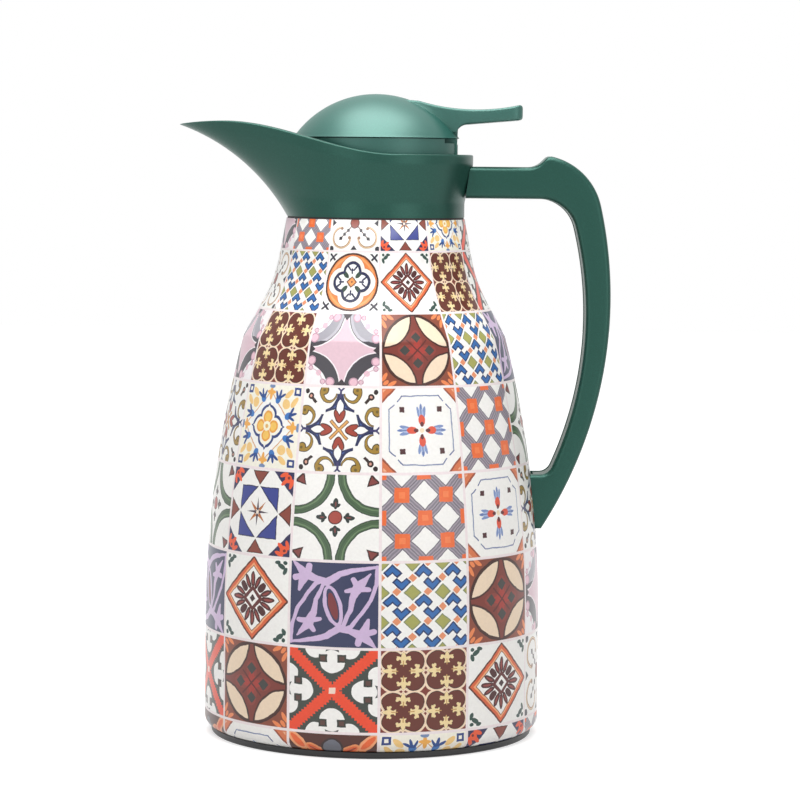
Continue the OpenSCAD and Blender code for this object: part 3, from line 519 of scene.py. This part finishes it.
def tile_finish(name, motif):
    """A glossy lacquer over one tile's motif. The tile's own coordinates run from -1 to 1, and a
    little noise on them gives the wavering of a brush. A pale line is left along the edges, and a
    finer noise makes the print's tone uneven."""
    waver, grown, grout = 0.05, 1.03, 0.968
    finish, tree, shader, solid = new_finish(name)
    Field.tree = tree
    place = tree.nodes.new("ShaderNodeUVMap")
    place.uv_map = "tile"
    split = tree.nodes.new("ShaderNodeSeparateXYZ")
    tree.links.new(place.outputs["UV"], split.inputs[0])
    shift = tree.nodes.new("ShaderNodeSeparateColor")
    tree.links.new(texture(tree, "Noise", solid, Scale=260.0, Detail=2.0)["Color"], shift.inputs[0])
    flat = [Field(split.outputs[k]) * 2.0 - 1.0 for k in (0, 1)]
    x, y = [(flat[k] + (Field(shift.outputs[k]) - 0.5) * waver) * grown for k in (0, 1)]
    tile = motif(x, y).lay(larger(abs(flat[0]), abs(flat[1])) > grout, "F6EAEA")
    tone = tree.nodes.new("ShaderNodeHueSaturation")
    tree.links.new(tile.coat, tone.inputs["Color"])
    wash = texture(tree, "Noise", solid, Scale=900.0, Detail=3.0)["Fac"]
    graded(tree, wash, 0.92, 1.08, tone.inputs["Value"])
    tree.links.new(tone.outputs[0], shader.inputs["Base Color"])
    put(shader, Roughness=0.30, Specular_IOR_Level=0.45)
    return finish


motifs = {"P": petal_circle, "B": basket, "F": fleur_trellis, "S": snowflake, "X": red_cross,
          "G": green_rings, "T": star_triangles, "K": lattice, "O": octagon, "Q": quatrefoil,
          "W": scroll_star, "A": pink_star, "C": circle_flower, "D": beads, "R": orange_floral,
          "L": lavender_scroll}
# Rows from the top. Each runs once round the sleeve from the seam behind the handle, and its last
# tile is cut by the seam.
tile_rows = ["TCWOSAKDTQXP", "KPRQLDBCSFXW", "OGTSKAFAPBLQ", "XDPBTWQWOKGS",
             "SLQCFGTGKOWB", "QWOKGLSLBPAC", "BKCTQXPXFSDO", "LFSBWRORQTKG"]
row_z = np.array([217.2, 195.2, 171.6, 143.6, 110.6, 76.9, 43.3, 10.4, -22.6])
seam, tile_turn, whole, tile_cols, cut_cols = 95.6, 31.0, 11, 12, 8
cut_turn = 360.0 - whole * tile_turn

# The belly's arc starts upright at belly_z and reaches shoulder_r at shoulder_z.
sleeve_bottom, sleeve_top, steel, lip = 2.7, 207.5, 1.0, 60.8
belly_r, belly_z, shoulder_r, shoulder_z, neck_r = 67.5, 46.0, 52.8, 160.0, 35.8
belly = ((shoulder_z - belly_z) ** 2 + (belly_r - shoulder_r) ** 2) / (2 * (belly_r - shoulder_r))


def heading(a):
    """Unit vector at a degrees: its cosine and sine."""
    return np.array([np.cos(np.radians(a)), np.sin(np.radians(a))])


def sleeve_meridian(inset):
    """Outer face of the sleeve less inset: corner arc, long belly arc, shoulder edge, cone and
    flare, each tangent to the next. The cone is as long as brings the top to the neck's radius."""
    corner, shoulder, flare, lean, neck = 4.0, 5.0, 60.0, 29.0, 10.5
    up = np.degrees(np.arcsin((shoulder_z - belly_z) / belly))
    top = np.array([belly_r - belly + belly * heading(up)[0], shoulder_z])
    edge = top - shoulder * heading(up)
    end = edge + shoulder * heading(lean)
    dx, dz = flare * (heading(lean) - heading(neck))
    slope = np.tan(np.radians(neck))
    cos, sin = heading(lean)
    cone = (end[0] + dx - slope * (sleeve_top - end[1] - dz) - neck_r) / (sin - slope * cos)
    fc = end + cone * np.array([-sin, cos]) + flare * heading(lean)
    return np.vstack([
        arc(belly_r - corner, sleeve_bottom + corner, corner - inset, -90, 0, 8),
        arc(belly_r - belly, belly_z, belly - inset, 0, up, 60),
        arc(*edge, shoulder - inset, up, lean, 8),
        arc(*fc, flare + inset, 180 + lean, 180 + neck, 24),
        [[neck_r - inset / heading(neck)[0], sleeve_top]]])


# Rings lie at the outer path's points and at the lines between rows of tiles. They go up the
# outer face and down the inner one, from and to a lip turned in at the bottom.
path, inner = sleeve_meridian(0.0), sleeve_meridian(steel)
lines = row_z[(row_z > sleeve_bottom) & (row_z < sleeve_top)]
levels = np.unique(np.round(np.concatenate([path[:, 1], lines]), 4))
radii = np.interp(levels, path[:, 1], path[:, 0])
radii[0] = path[0, 0]
down = levels[::-1]
ring_r = np.concatenate([[lip], radii, np.interp(down, inner[:, 1], inner[:, 0]), [lip]])
ring_z = np.concatenate([[sleeve_bottom], levels, np.clip(down, sleeve_bottom + steel, sleeve_top),
                         [sleeve_bottom + steel]])
turn = np.concatenate([seam - whole * tile_turn + np.arange(whole * tile_cols) * tile_turn / tile_cols,
                       seam + np.arange(cut_cols) * cut_turn / cut_cols])
angle = np.radians(turn)
skin = np.stack([ring_r[:, None] * np.sin(angle), -ring_r[:, None] * np.cos(angle),
                 np.broadcast_to(ring_z[:, None], (len(ring_z), len(angle)))], -1)

# Each quad of the outer face takes its tile's material and its own share of the tile as its UV.
middle = (levels[1:] + levels[:-1]) / 2
row = np.searchsorted(-row_z, -middle) - 1
foot, height = row_z[row + 1], row_z[row] - row_z[row + 1]
v_low, v_high = (levels[:-1] - foot) / height, (levels[1:] - foot) / height
k = np.arange(len(turn))
full = whole * tile_cols
u_left = np.where(k < full, (k % tile_cols) / tile_cols, (k - full) * cut_turn / tile_turn / cut_cols)
u_right = u_left + np.where(k < full, 1 / tile_cols, cut_turn / tile_turn / cut_cols)
letters = sorted(motifs)
which = np.array([[letters.index(c) for c in letters_of_row] for letters_of_row in tile_rows])
outer = slice(1, len(levels))
ink = np.full((len(ring_z), len(turn)), len(letters))
ink[outer] = which[row][:, k // tile_cols]
uv = np.zeros((*ink.shape, 4, 2))
for corner, (u, v) in enumerate(((u_left, v_low), (u_right, v_low), (u_right, v_high), (u_left, v_high))):
    uv[outer, :, corner, 0], uv[outer, :, corner, 1] = u, v[:, None]

bare_steel, tree, shader, solid = new_finish("sleeve_inside")
put(shader, Base_Color=srgb("A9A9A6"), Metallic=1.0)
grain = texture(tree, "Noise", solid, Scale=700.0)["Fac"]
graded(tree, grain, 0.36, 0.54, shader.inputs["Roughness"])
sleeve = sheet_mesh("printed_sleeve", skin, wrap_u=True, wrap_v=True, uv=uv, ink=ink,
                    materials=[tile_finish("tile_" + motifs[c].__name__, motifs[c]) for c in letters]
                    + [bare_steel])
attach(sleeve, "jug")
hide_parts("outer_shell")


# ---- Foot ring, base cap and cushion ----------------------------------------------------------
# The sleeve's bottom edge sits on a black moulded foot ring. A cap screws into the ring and presses
# the glass up against the neck through a rubber cushion.

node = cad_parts


def raised(tree, height, strength, distance, shader):
    """Shades the surface as if it were lifted by height times distance, by the share strength."""
    bump = tree.nodes.new("ShaderNodeBump")
    put(bump, Strength=strength, Distance=distance)
    tree.links.new(height, bump.inputs["Height"])
    tree.links.new(bump.outputs[0], shader.inputs["Normal"])


def plain_finish(name, colour, rough, metal=0.0, grain=900.0, depth=0.02):
    """One colour with a fine grain: noise on the object's coordinates moves the roughness by 0.05
    either way and lifts the surface a little."""
    finish, tree, shader, place = new_finish(name)
    put(shader, Base_Color=srgb(colour), Metallic=metal)
    noise = texture(tree, "Noise", place, Scale=grain)["Fac"]
    graded(tree, noise, rough - 0.05, rough + 0.05, shader.inputs["Roughness"])
    raised(tree, noise, depth, MM, shader)
    return finish


def dress(names, finish):
    """Puts a finish on CAD nodes."""
    for name in names:
        node[name].data.materials.clear()
        node[name].data.materials.append(finish)


black_moulding = plain_finish("black_moulding", "1B1B1D", 0.42, depth=0.05)
dark_rubber = plain_finish("dark_rubber", "202020", 0.7, depth=0.1)
dress(["base_ring", "base_cap"], black_moulding)
# The neck ring is a thin black rubber ring between the sleeve's top and the collar, put there as painted
# shade: it draws the dark shadow line at that joint. The cushion is plain dark rubber.
dress(["liner_cushion", "neck_ring"], dark_rubber)


# ---- Glass liner ------------------------------------------------------------------------------
# Two blown glass walls, one inside the other and joined at the lip. They are silvered on the sides
# that face the gap, and the gap is sealed at the tail.

silvered_glass = plain_finish("silvered_glass", "D5DADC", 0.12, metal=0.9, grain=200.0, depth=0.01)
dress(["outer_flask", "inner_flask"], silvered_glass)


# ---- Neck: gasket and insert ------------------------------------------------------------------
# A soft ring lies on the glass lip, and a white threaded insert holds the stopper. The seals and
# the stopper's inner mouldings are of the same two whites.

soft_white = plain_finish("soft_white", "D8D6CE", 0.6, depth=0.08)
inner_white = plain_finish("inner_white", "DCDAD2", 0.4, depth=0.03)
dress(["neck_gasket", "stopper_seal", "valve_seal"], soft_white)
dress(["neck_insert", "valve_seat", "valve_stem", "lift_yoke", "cap_liner"], inner_white)


# ---- Collar and spout -------------------------------------------------------------------------
# One moulding in green with a metallic satin lacquer: a collar that leans out, a bowl in it and a
# beak spout whose lip is rounded. A skirt under it goes down into the sleeve's neck.

def tidy_shell(piece, sharp=None, close=False):
    """Merges points within a hundredth of a millimetre and turns the faces outwards. Edges bent by
    more than sharp degrees are kept sharp. With close, the open ends are filled first."""
    merge = 0.00001
    shell = bmesh.new()
    shell.from_mesh(piece.data)
    if close:
        bmesh.ops.holes_fill(shell, edges=[e for e in shell.edges if e.is_boundary])
        shell.normal_update()
    bmesh.ops.remove_doubles(shell, verts=shell.verts, dist=merge)
    bmesh.ops.dissolve_degenerate(shell, edges=shell.edges, dist=merge * 0.1)
    bmesh.ops.recalc_face_normals(shell, faces=shell.faces)
    if sharp:
        for edge in shell.edges:
            edge.smooth = not (edge.is_manifold and edge.calc_face_angle(0) > np.radians(sharp))
    shell.to_mesh(piece.data)
    shell.free()


def satin_green(name, base="244F45", rough=0.33, metal=0.4, gloss=0.3):
    """Green metallic lacquer, a part metal shader: fine flakes vary its colour by 14 percent either
    way and lift it, and a broad noise moves its roughness by 0.03 either way."""
    finish, tree, shader, place = new_finish(name)
    flakes = texture(tree, "Voronoi", place, Scale=2600.0)["Distance"]
    blend = tree.nodes.new("ShaderNodeMix")
    blend.data_type = "RGBA"
    for end, share in ((6, 0.86), (7, 1.14)):
        blend.inputs[end].default_value = (*(np.array(srgb(base))[:3] * share).tolist(), 1.0)
    tree.links.new(flakes, blend.inputs[0])
    tree.links.new(blend.outputs[2], shader.inputs["Base Color"])
    cloud = texture(tree, "Noise", place, Scale=60.0)["Fac"]
    graded(tree, cloud, rough - 0.03, rough + 0.03, shader.inputs["Roughness"])
    raised(tree, flakes, 0.06, 0.0003, shader)
    put(shader, Metallic=metal, Specular_IOR_Level=gloss)
    return finish


green = satin_green("satin_green")
collar_z, floor_z, rear_rim, reach, wall = 208.3, 213.0, 232.8, 78.9, 2.2
foot_r, rim_r, under_r = 35.6, 38.9, 80.0


def ease(u):
    """Smooth step from 0 to 1: three squares less two cubes."""
    t = np.clip(u, 0, 1)
    return t * t * (3 - 2 * t)


def rim_height(x):
    """Rear rim's height plus a smooth rise towards the spout, less a droop at the tip."""
    rise, rise_from, rise_run, droop, droop_from = 12.6, 8, 70, 1.1, -62
    fall = np.clip((droop_from - x) / (reach + droop_from), 0, None)
    return rear_rim + rise * ease((rise_from - x) / rise_run) - droop * fall ** 2


def round_r(z):
    """Radius of the collar's round part: straight, leaning out, straight."""
    lean_from, lean_run = 214.0, 15.5
    return foot_r + (rim_r - foot_r) * np.clip((z - lean_from) / lean_run, 0, 1)


# The arc under the spout has the radius under_r and goes from the collar's foot to the tip.
tip_z = float(rim_height(-reach))
chord = np.array([reach - foot_r, tip_z - collar_z])
curve_c = np.array([(reach + foot_r) / 2, (tip_z + collar_z) / 2]) \
    + np.sqrt(under_r ** 2 - chord @ chord / 4) * np.array([chord[1], -chord[0]]) / np.linalg.norm(chord)


def collar_ring(s, w, lift, t):
    """Ring of the collar at share s of its height and w inside its face: a circle whose front is
    pulled out, by the seventh power of the cosine, to the arc under the spout."""
    pull = np.clip(np.cos(t), 0, None) ** 7
    rim_x = -(rim_r * np.cos(t) + (reach - rim_r) * pull)
    z = collar_z + s * (rim_height(rim_x) - collar_z)
    r = round_r(collar_z + s * (rear_rim - collar_z)) - w
    under = curve_c[0] - np.sqrt(under_r ** 2 - (collar_z + s * (tip_z - collar_z) - curve_c[1]) ** 2)
    tip = under - w * (1 + 1.2 * s)
    return np.stack([-(r * np.cos(t) + np.clip(tip - r, 0, None) * pull), r * np.sin(t), z + lift], -1)


# Up the outer face, over the lip, down into the bowl, over its floor and round the skirt.
around = np.radians(np.arange(0, 360, 1.5))
roll, lip_rise = np.radians(np.linspace(0, 180, 9))[1:-1], 0.55
floor_share = (floor_z - collar_z) / (rear_rim - collar_z)
bowl_r, open_r, skirt_in, skirt_out, skirt_z = 33.2, 29.6, 31.4, 33.6, 200.5
flat_rings = [(bowl_r, floor_z), (open_r, floor_z), (open_r, collar_z), (skirt_in, collar_z),
              (skirt_in, skirt_z), (skirt_out, skirt_z), (skirt_out, collar_z)]
shell = np.array(
    [collar_ring(s, 0.0, 0.0, around) for s in np.linspace(0, 1, 37)]
    + [collar_ring(1.0, wall * (1 - np.cos(a)) / 2, lip_rise * np.sin(a), around) for a in roll]
    + [collar_ring(s, wall, 0.0, around) for s in np.linspace(1, floor_share, 33)]
    + [np.stack([-r * np.cos(around), r * np.sin(around), np.full_like(around, z)], -1)
       for r, z in flat_rings])
collar = sheet_mesh("collar_and_spout", shell, wrap_u=True, wrap_v=True, materials=[green])
tidy_shell(collar, sharp=50)
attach(collar, "jug")
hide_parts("collar")


# ---- Handle -----------------------------------------------------------------------------------
# A moulded loop in the same green, screwed to the collar's rear and to the sleeve, with a thumb
# hump at its crown, rounded edges and a strip snapped into a groove on its inner side. The strip's
# greyer, paler green is a painted reflection of the white room on that glancing side.

def along(points, share):
    """Points at shares of a polyline's length."""
    run = np.concatenate([[0], np.cumsum(np.linalg.norm(np.diff(points, axis=0), axis=1))])
    return np.column_stack([np.interp(share * run[-1], run, points[:, k]) for k in (0, 1)])


def belly_x(z):
    """Outer radius of the sleeve on its long belly arc."""
    return belly_r - belly + np.sqrt(belly ** 2 - (z - belly_z) ** 2)


def on_arc(z, centre, r):
    """Angle in degrees at which a circle of radius r about centre reaches the height z."""
    return np.degrees(np.arcsin((z - centre[1]) / r))


# The loop's sides in X and Z: arm, bend, hollow and heel inside, and outside an arm with a dip
# and a thumb hump, the crown, the grip and the foot.
arm_x, arm_low, arm_top, heel_z, toe_z, sunk = 36.0, 216.0, 228.7, 105.5, 83.5, 1.5
hollow_r, bend_r, heel_r = 147, 15, 5
hollow_c = np.array([84.5 - hollow_r, 168.5])
hollow_a = on_arc(arm_low - bend_r, hollow_c, hollow_r - bend_r)
bend_c = hollow_c + (hollow_r - bend_r) * heading(hollow_a)
heel_a = on_arc(heel_z + heel_r, hollow_c, hollow_r - heel_r)
heel_c = hollow_c + (hollow_r - heel_r) * heading(heel_a)
grip_r, crown_r, thumb_r, dip_r, thumb_a, dip_a, foot_turn = 170, 26, 2.4, 8, 78, 45, 8.5
grip_c = np.array([94.5 - grip_r, 175.0])
crown_a = on_arc(207.6, grip_c, grip_r - crown_r)
crown_c = grip_c + (grip_r - crown_r) * heading(crown_a)
toe_a = on_arc(toe_z, grip_c, grip_r)
thumb_c = crown_c + (crown_r - thumb_r) * heading(thumb_a)
dip_cos, dip_sin = heading(dip_a)
dip_x = thumb_c[0] - (dip_r + thumb_r) * dip_sin \
    - (thumb_c[1] + thumb_r * dip_cos - arm_top - dip_r * (1 - dip_cos))
inner_parts = [
    np.array([[arm_x, arm_low], [bend_c[0], arm_low]]),
    arc(*bend_c, bend_r, 90, hollow_a, 20),
    arc(*hollow_c, hollow_r, hollow_a, heel_a, 60),
    np.vstack([arc(*heel_c, heel_r, heel_a, -90, 10), [[belly_x(heel_z) - sunk, heel_z]]])]
outer_parts = [
    np.vstack([[[arm_x, arm_top]], arc(dip_x, arm_top + dip_r, dip_r, -90, -dip_a, 10),
               arc(*thumb_c, thumb_r, 180 - dip_a, thumb_a, 8)]),
    arc(*crown_c, crown_r, thumb_a, crown_a, 24),
    arc(*grip_c, grip_r, crown_a, toe_a + foot_turn, 60),
    np.vstack([arc(*grip_c, grip_r, toe_a + foot_turn, toe_a, 10), [[belly_x(toe_z) - sunk, toe_z]]])]
inside, outside = [
    np.vstack([along(p, np.linspace(0, 1, n, endpoint=False)) for p, n in zip(parts, (34, 30, 70, 26))]
              + [parts[-1][-1:]]) for parts in (inner_parts, outer_parts)]


def handle_section(depth, across, edge, groove, groove_w):
    """Rounded rectangle, depth by across: its corners are quarter circles of radius edge. The inner
    side may have a square groove. Each point is (distance from the inner side, distance across)."""
    q = np.radians(np.linspace(0, 90, 7))
    corner = np.column_stack([edge * (1 - np.cos(q)), across / 2 - edge * (1 - np.sin(q))])
    half = np.vstack([corner, np.column_stack([depth - corner[::-1, 0], corner[::-1, 1]])])
    if groove:
        half = np.vstack([[[groove, groove_w / 2], [0, groove_w / 2]], half])
    return np.vstack([half, half[::-1] * [1, -1]])


def spans(inside, outside):
    """Distance from the inner side to the outer one at each station, and the unit vector that way."""
    span = np.linalg.norm(outside - inside, axis=1)
    return span, (outside - inside) / span[:, None]


def carry(inside, outside, across, edge, groove=0.0, groove_w=0.0):
    """The section carried along the loop: at each station it spans from the inner to the outer side."""
    span, way = spans(inside, outside)
    section = np.array([handle_section(d, across, edge, groove, groove_w) for d in span])
    xz = inside[:, None, :] + way[:, None, :] * section[:, :, :1]
    return np.stack([xz[..., 0], section[..., 1], xz[..., 1]], -1)


def seat_on(points):
    """Moves the ends' points that would lie inside the sleeve or the collar to just off their faces."""
    gap, arm_from, foot_to = 0.1, 205, 125
    x, y, z = points[..., 0], points[..., 1], points[..., 2]
    seat = np.where(z > arm_from, round_r(z), belly_x(np.clip(z, 50, shoulder_z))) + gap
    near = (np.hypot(x, y) < seat) & ((z > arm_from) | (z < foot_to))
    points[..., 0] = np.where(near, np.sqrt(np.clip(seat ** 2 - y ** 2, 0, None)), x)
    return points


loop = carry(inside, outside, across=19.0, edge=2.2, groove=2.1, groove_w=12.2)
handle = sheet_mesh("loop_handle", seat_on(loop), wrap_v=True, materials=[green])
tidy_shell(handle, sharp=50, close=True)
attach(handle, "jug")
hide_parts("handle_body")

# The strip leaves out the ends, and lies from 0.25 mm to 2 mm deep in the groove.
way = spans(inside, outside)[1]
run = slice(20, len(inside) - 6)
strip_sheet = carry((inside + way * 0.25)[run], (inside + way * 2.0)[run], across=12.0, edge=0.5)
# The strip's greyer, paler green is painted reflection: the grey sheen of the glancing inner side, laid
# into its colour.
strip_green_painted_reflection = satin_green("strip_green_painted_reflection", "4B5A50", 0.42, 0.3)
strip = sheet_mesh("inner_strip", strip_sheet, wrap_v=True, materials=[strip_green_painted_reflection])
tidy_shell(strip, sharp=50, close=True)
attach(strip, "jug")
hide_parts("handle_strip")

zinc = plain_finish("bright_zinc", "B9B9B4", 0.3, metal=1.0, depth=0.02)
dress(["arm_screw", "foot_screw", "foot_plate", "valve_spring"], zinc)


# ---- Stopper ----------------------------------------------------------------------------------
# A green moulded band with a pale screw plug and a cage of windows for pouring under it. The
# valve's seat, stem, disc, spring and yoke work inside it, and a lacquered pin holds the cap.

dress(["stopper_plug"], inner_white)
# The cap, band and pin ends use the collar's lacquer with a lighter base colour, which is painted light
# from the lamp above, and with a stronger gloss.
cap_green_painted_light = satin_green("cap_green_painted_light", "1E5A50", 0.42, 0.4, 1.0)
dress(["stopper_band", "hinge_pin"], cap_green_painted_light)


# ---- Flip cap ---------------------------------------------------------------------------------
# A domed shell in lacquered green with a thumb lever moulded on, which turns on the pin under its
# rear edge. A tongue in front of the pin lifts the valve's yoke.

cap_z, cap_r, dome_r, dome_wall = 239.7, 33.3, 40.3, 2.0
dome_c = cap_z - np.sqrt(dome_r ** 2 - cap_r ** 2)
edge_a = on_arc(cap_z + 0.5, (0, dome_c), dome_r)
inner_a = on_arc(cap_z, (0, dome_c), dome_r - dome_wall)
dome_path = np.vstack([
    arc(0, dome_c, dome_r, 90, edge_a, 40),
    [[33.25, cap_z + 0.2], [33.0, cap_z]],
    arc(0, dome_c, dome_r - dome_wall, inner_a, 90, 36)])
dome_path[0, 0] = dome_path[-1, 0] = 0.0
spin = np.radians(np.arange(0, 360, 2.0))
dome_skin = np.stack([dome_path[:, :1] * np.cos(spin), dome_path[:, :1] * np.sin(spin),
                      np.broadcast_to(dome_path[:, 1:], (len(dome_path), len(spin)))], -1)
dome = sheet_mesh("cap_dome", dome_skin, wrap_v=True, materials=[cap_green_painted_light])
tidy_shell(dome, sharp=50)

# The lever's upper line leaves the dome at root_x, sinks and rises along an arc of radius sweep_r,
# and ends in a rounded nose.
lever_z, root_x, sweep_r, sweep_a, nose_x, nose_r = dome_c + dome_r - 9.9, 11.5, 80, 12.49, 57.1, 1.2
sweep_z = lever_z + 84
end_z = sweep_z - sweep_r * np.cos(np.radians(sweep_a))
top_run = np.vstack([[[root_x, dome_c + np.sqrt(dome_r ** 2 - root_x ** 2) - 0.6]],
                     arc(39.5, sweep_z, sweep_r, 253.5, 270 + sweep_a, 30),
                     arc(nose_x, end_z - nose_r, nose_r, 70, 0, 4)])
low_run = np.vstack([[[12.0, 243.0], [30.6, 241.6]], arc(36.7, lever_z - 7.1, 5.2, 165, 88, 8),
                     arc(nose_x, end_z - 4.8, nose_r, -85, 0, 4)])
stations = np.concatenate([np.linspace(0, 0.93, 46), np.linspace(0.93, 1, 12)[1:]])
top_line, low_line = along(top_run, stations), along(low_run, stations)


def lever_half(x):
    """Half width of the lever: narrow on the dome, wider at the thumb, with round front corners."""
    narrow, widening, corner, corner_from = 8.2, 2.8, 4, 54.3
    flare = narrow + widening * ease((x - 24) / 26)
    cut = np.clip(x - corner_from, 0, corner)
    return flare - (corner - np.sqrt(np.clip(corner ** 2 - cut ** 2, 0, None)))


def lever_section(low, top):
    """Rounded rectangle between the lower and upper line, its corners quarter circles."""
    half = lever_half(max(low[0], top[0]))
    tall = np.linalg.norm(top - low)
    r = min(1.1, tall * 0.4, half * 0.5)
    q = np.radians(np.linspace(0, 90, 6))
    side = np.vstack([np.column_stack([half - r + r * np.sin(q), r - r * np.cos(q)]),
                      np.column_stack([half - r + r * np.cos(q), tall - r + r * np.sin(q)])])
    loop = np.vstack([side, side[::-1] * [-1, 1]])
    up = (top - low) / max(tall, 1e-6)
    xz = low + loop[:, 1:] * up
    return np.column_stack([xz[:, 0], loop[:, 0], xz[:, 1]])


# Where the lever goes deeper into the dome than 1 mm under its face, it's brought up to there.
lever_skin = np.array([lever_section(a, b) for a, b in zip(low_line, top_line)])
centre, root_r = np.array([0, 0, dome_c]), dome_r - 1.0
depth = np.linalg.norm(lever_skin - centre, axis=-1, keepdims=True)
lever_skin = np.where(depth < root_r, centre + (lever_skin - centre) * root_r / depth, lever_skin)
lever = sheet_mesh("cap_lever", lever_skin, wrap_v=True, materials=[cap_green_painted_light])
tidy_shell(lever, sharp=55, close=True)


def bar_across(name, outline, width, finish):
    """A closed outline in X and Z carried straight across, capped at both ends."""
    y = np.array([-width / 2, width / 2])[:, None, None]
    rim = np.broadcast_to(outline[None], (2, *outline.shape))
    points = np.concatenate([rim[..., :1], np.broadcast_to(y, rim[..., :1].shape), rim[..., 1:]], -1)
    bar = sheet_mesh(name, points, wrap_v=True, materials=[finish])
    tidy_shell(bar, sharp=40, close=True)
    return bar


hinge_x, hinge_z, knuckle_r = 29.0, 238.0, 3.3
knuckle = bar_across("cap_knuckle", np.vstack([arc(hinge_x, hinge_z, knuckle_r, 100, 360, 40),
                                               [[32.6, 245.0], [27.8, 244.6]]]), 11.0, cap_green_painted_light)
tongue = bar_across("cap_tongue", np.vstack([arc(21.0, 235.3, 0.9, 90, 270, 14),
                                             [[hinge_x, 234.4], [hinge_x, 237.2], [25.0, 236.2]]]),
                    7.0, cap_green_painted_light)
for piece in (dome, lever, knuckle, tongue):
    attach(piece, "cap")
    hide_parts("flip_cap")


# ---- Floor, light and camera ------------------------------------------------------------------
# A white paper floor in a white room, two large soft lamps in front and one above, and a camera
# at the collar's height that looks a little down.

def in_sight(tree):
    """1 for camera, glossy and transmission rays and 0 for the others: the largest of the three."""
    Field.tree = tree
    ray = tree.nodes.new("ShaderNodeLightPath").outputs
    mirrored = larger(Field(ray["Is Glossy Ray"]), Field(ray["Is Transmission Ray"]))
    return larger(Field(ray["Is Camera Ray"]), mirrored).socket


far = 3000.0
x, y = np.meshgrid([-far, far], [-far, far], indexing="ij")
floor = sheet_mesh("floor", np.stack([x, y, np.zeros((2, 2))], -1))
tidy_shell(floor)
# The paper's glow, which only in_sight's rays see, goes from 0.66 near the foot to white far off.
paper, tree, shader, place = new_finish("white_paper")
tree.nodes.remove(shader)
matt = tree.nodes.new("ShaderNodeBsdfDiffuse")
put(matt, Color=(0.5, 0.5, 0.5, 1))
glow = tree.nodes.new("ShaderNodeEmission")
far_off = tree.nodes.new("ShaderNodeVectorMath")
far_off.operation = "LENGTH"
tree.links.new(place, far_off.inputs[0])
lift = tree.nodes.new("ShaderNodeMath")
lift.operation = "MULTIPLY"
tree.links.new(in_sight(tree), lift.inputs[0])
graded(tree, far_off.outputs["Value"], 0.66, 1.0, lift.inputs[1], 0.12, 0.60)
tree.links.new(lift.outputs[0], glow.inputs["Strength"])
both = tree.nodes.new("ShaderNodeAddShader")
tree.links.new(matt.outputs[0], both.inputs[0])
tree.links.new(glow.outputs[0], both.inputs[1])
tree.links.new(both.outputs[0], tree.nodes["Material Output"].inputs["Surface"])
floor.data.materials.append(paper)

world = bpy.data.worlds.new("studio")
bpy.context.scene.world = world
world.use_nodes = True
sky = world.node_tree.nodes["Background"]
put(sky, Color=(1, 1, 1, 1))
graded(world.node_tree, in_sight(world.node_tree), 0.315, 1.0, sky.inputs["Strength"])


def soft_lamp(name, place, target, wide, deep, power):
    """A rectangular lamp at place that faces target, all in metres."""
    light = bpy.data.lights.new(name, "AREA")
    light.shape = "RECTANGLE"
    light.size, light.size_y = wide, deep
    light.energy = power
    lamp = bpy.data.objects.new(name, light)
    bpy.context.scene.collection.objects.link(lamp)
    facing = (Vector(target) - Vector(place)).to_track_quat("-Z", "Y").to_matrix().to_4x4()
    lamp.matrix_world = Matrix.Translation(place) @ facing


soft_lamp("lamp_left", (-0.8, -1.1, 0.38), (0, 0, 0.11), 0.8, 0.8, 1.65)
soft_lamp("lamp_right", (0.9, -1.1, 0.26), (0, 0, 0.10), 0.8, 0.8, 2.8)
soft_lamp("lamp_above", (-0.02, -0.12, 0.95), (0, 0, 0.25), 0.75, 0.95, 13.2)

# The camera's place is in metres, and its focal length in pixels of a frame 800 wide.
eye, focal_px, frame_px, sensor = (0.0, -1.2303, 0.22941), 3054.35, 800, 36.0
pitch, yaw, rolled = np.radians(4.4174), np.radians(0.48995), np.radians(0.58828)
forward = np.array([np.sin(yaw) * np.cos(pitch), np.cos(yaw) * np.cos(pitch), -np.sin(pitch)])
right = np.array([np.cos(yaw), -np.sin(yaw), 0.0])
up = np.cross(right, forward)
right, up = np.cos(rolled) * right + np.sin(rolled) * up, -np.sin(rolled) * right + np.cos(rolled) * up
lens = bpy.data.cameras.new("camera")
lens.sensor_width = sensor
lens.lens = sensor * focal_px / frame_px
camera = bpy.data.objects.new("camera", lens)
bpy.context.scene.collection.objects.link(camera)
turn_to = Matrix(np.column_stack([right, up, -forward]).tolist()).to_4x4()
camera.matrix_world = Matrix.Translation(eye) @ turn_to
bpy.context.scene.camera = camera
bpy.context.scene.view_settings.view_transform = "Standard"

bpy.context.view_layer.update()
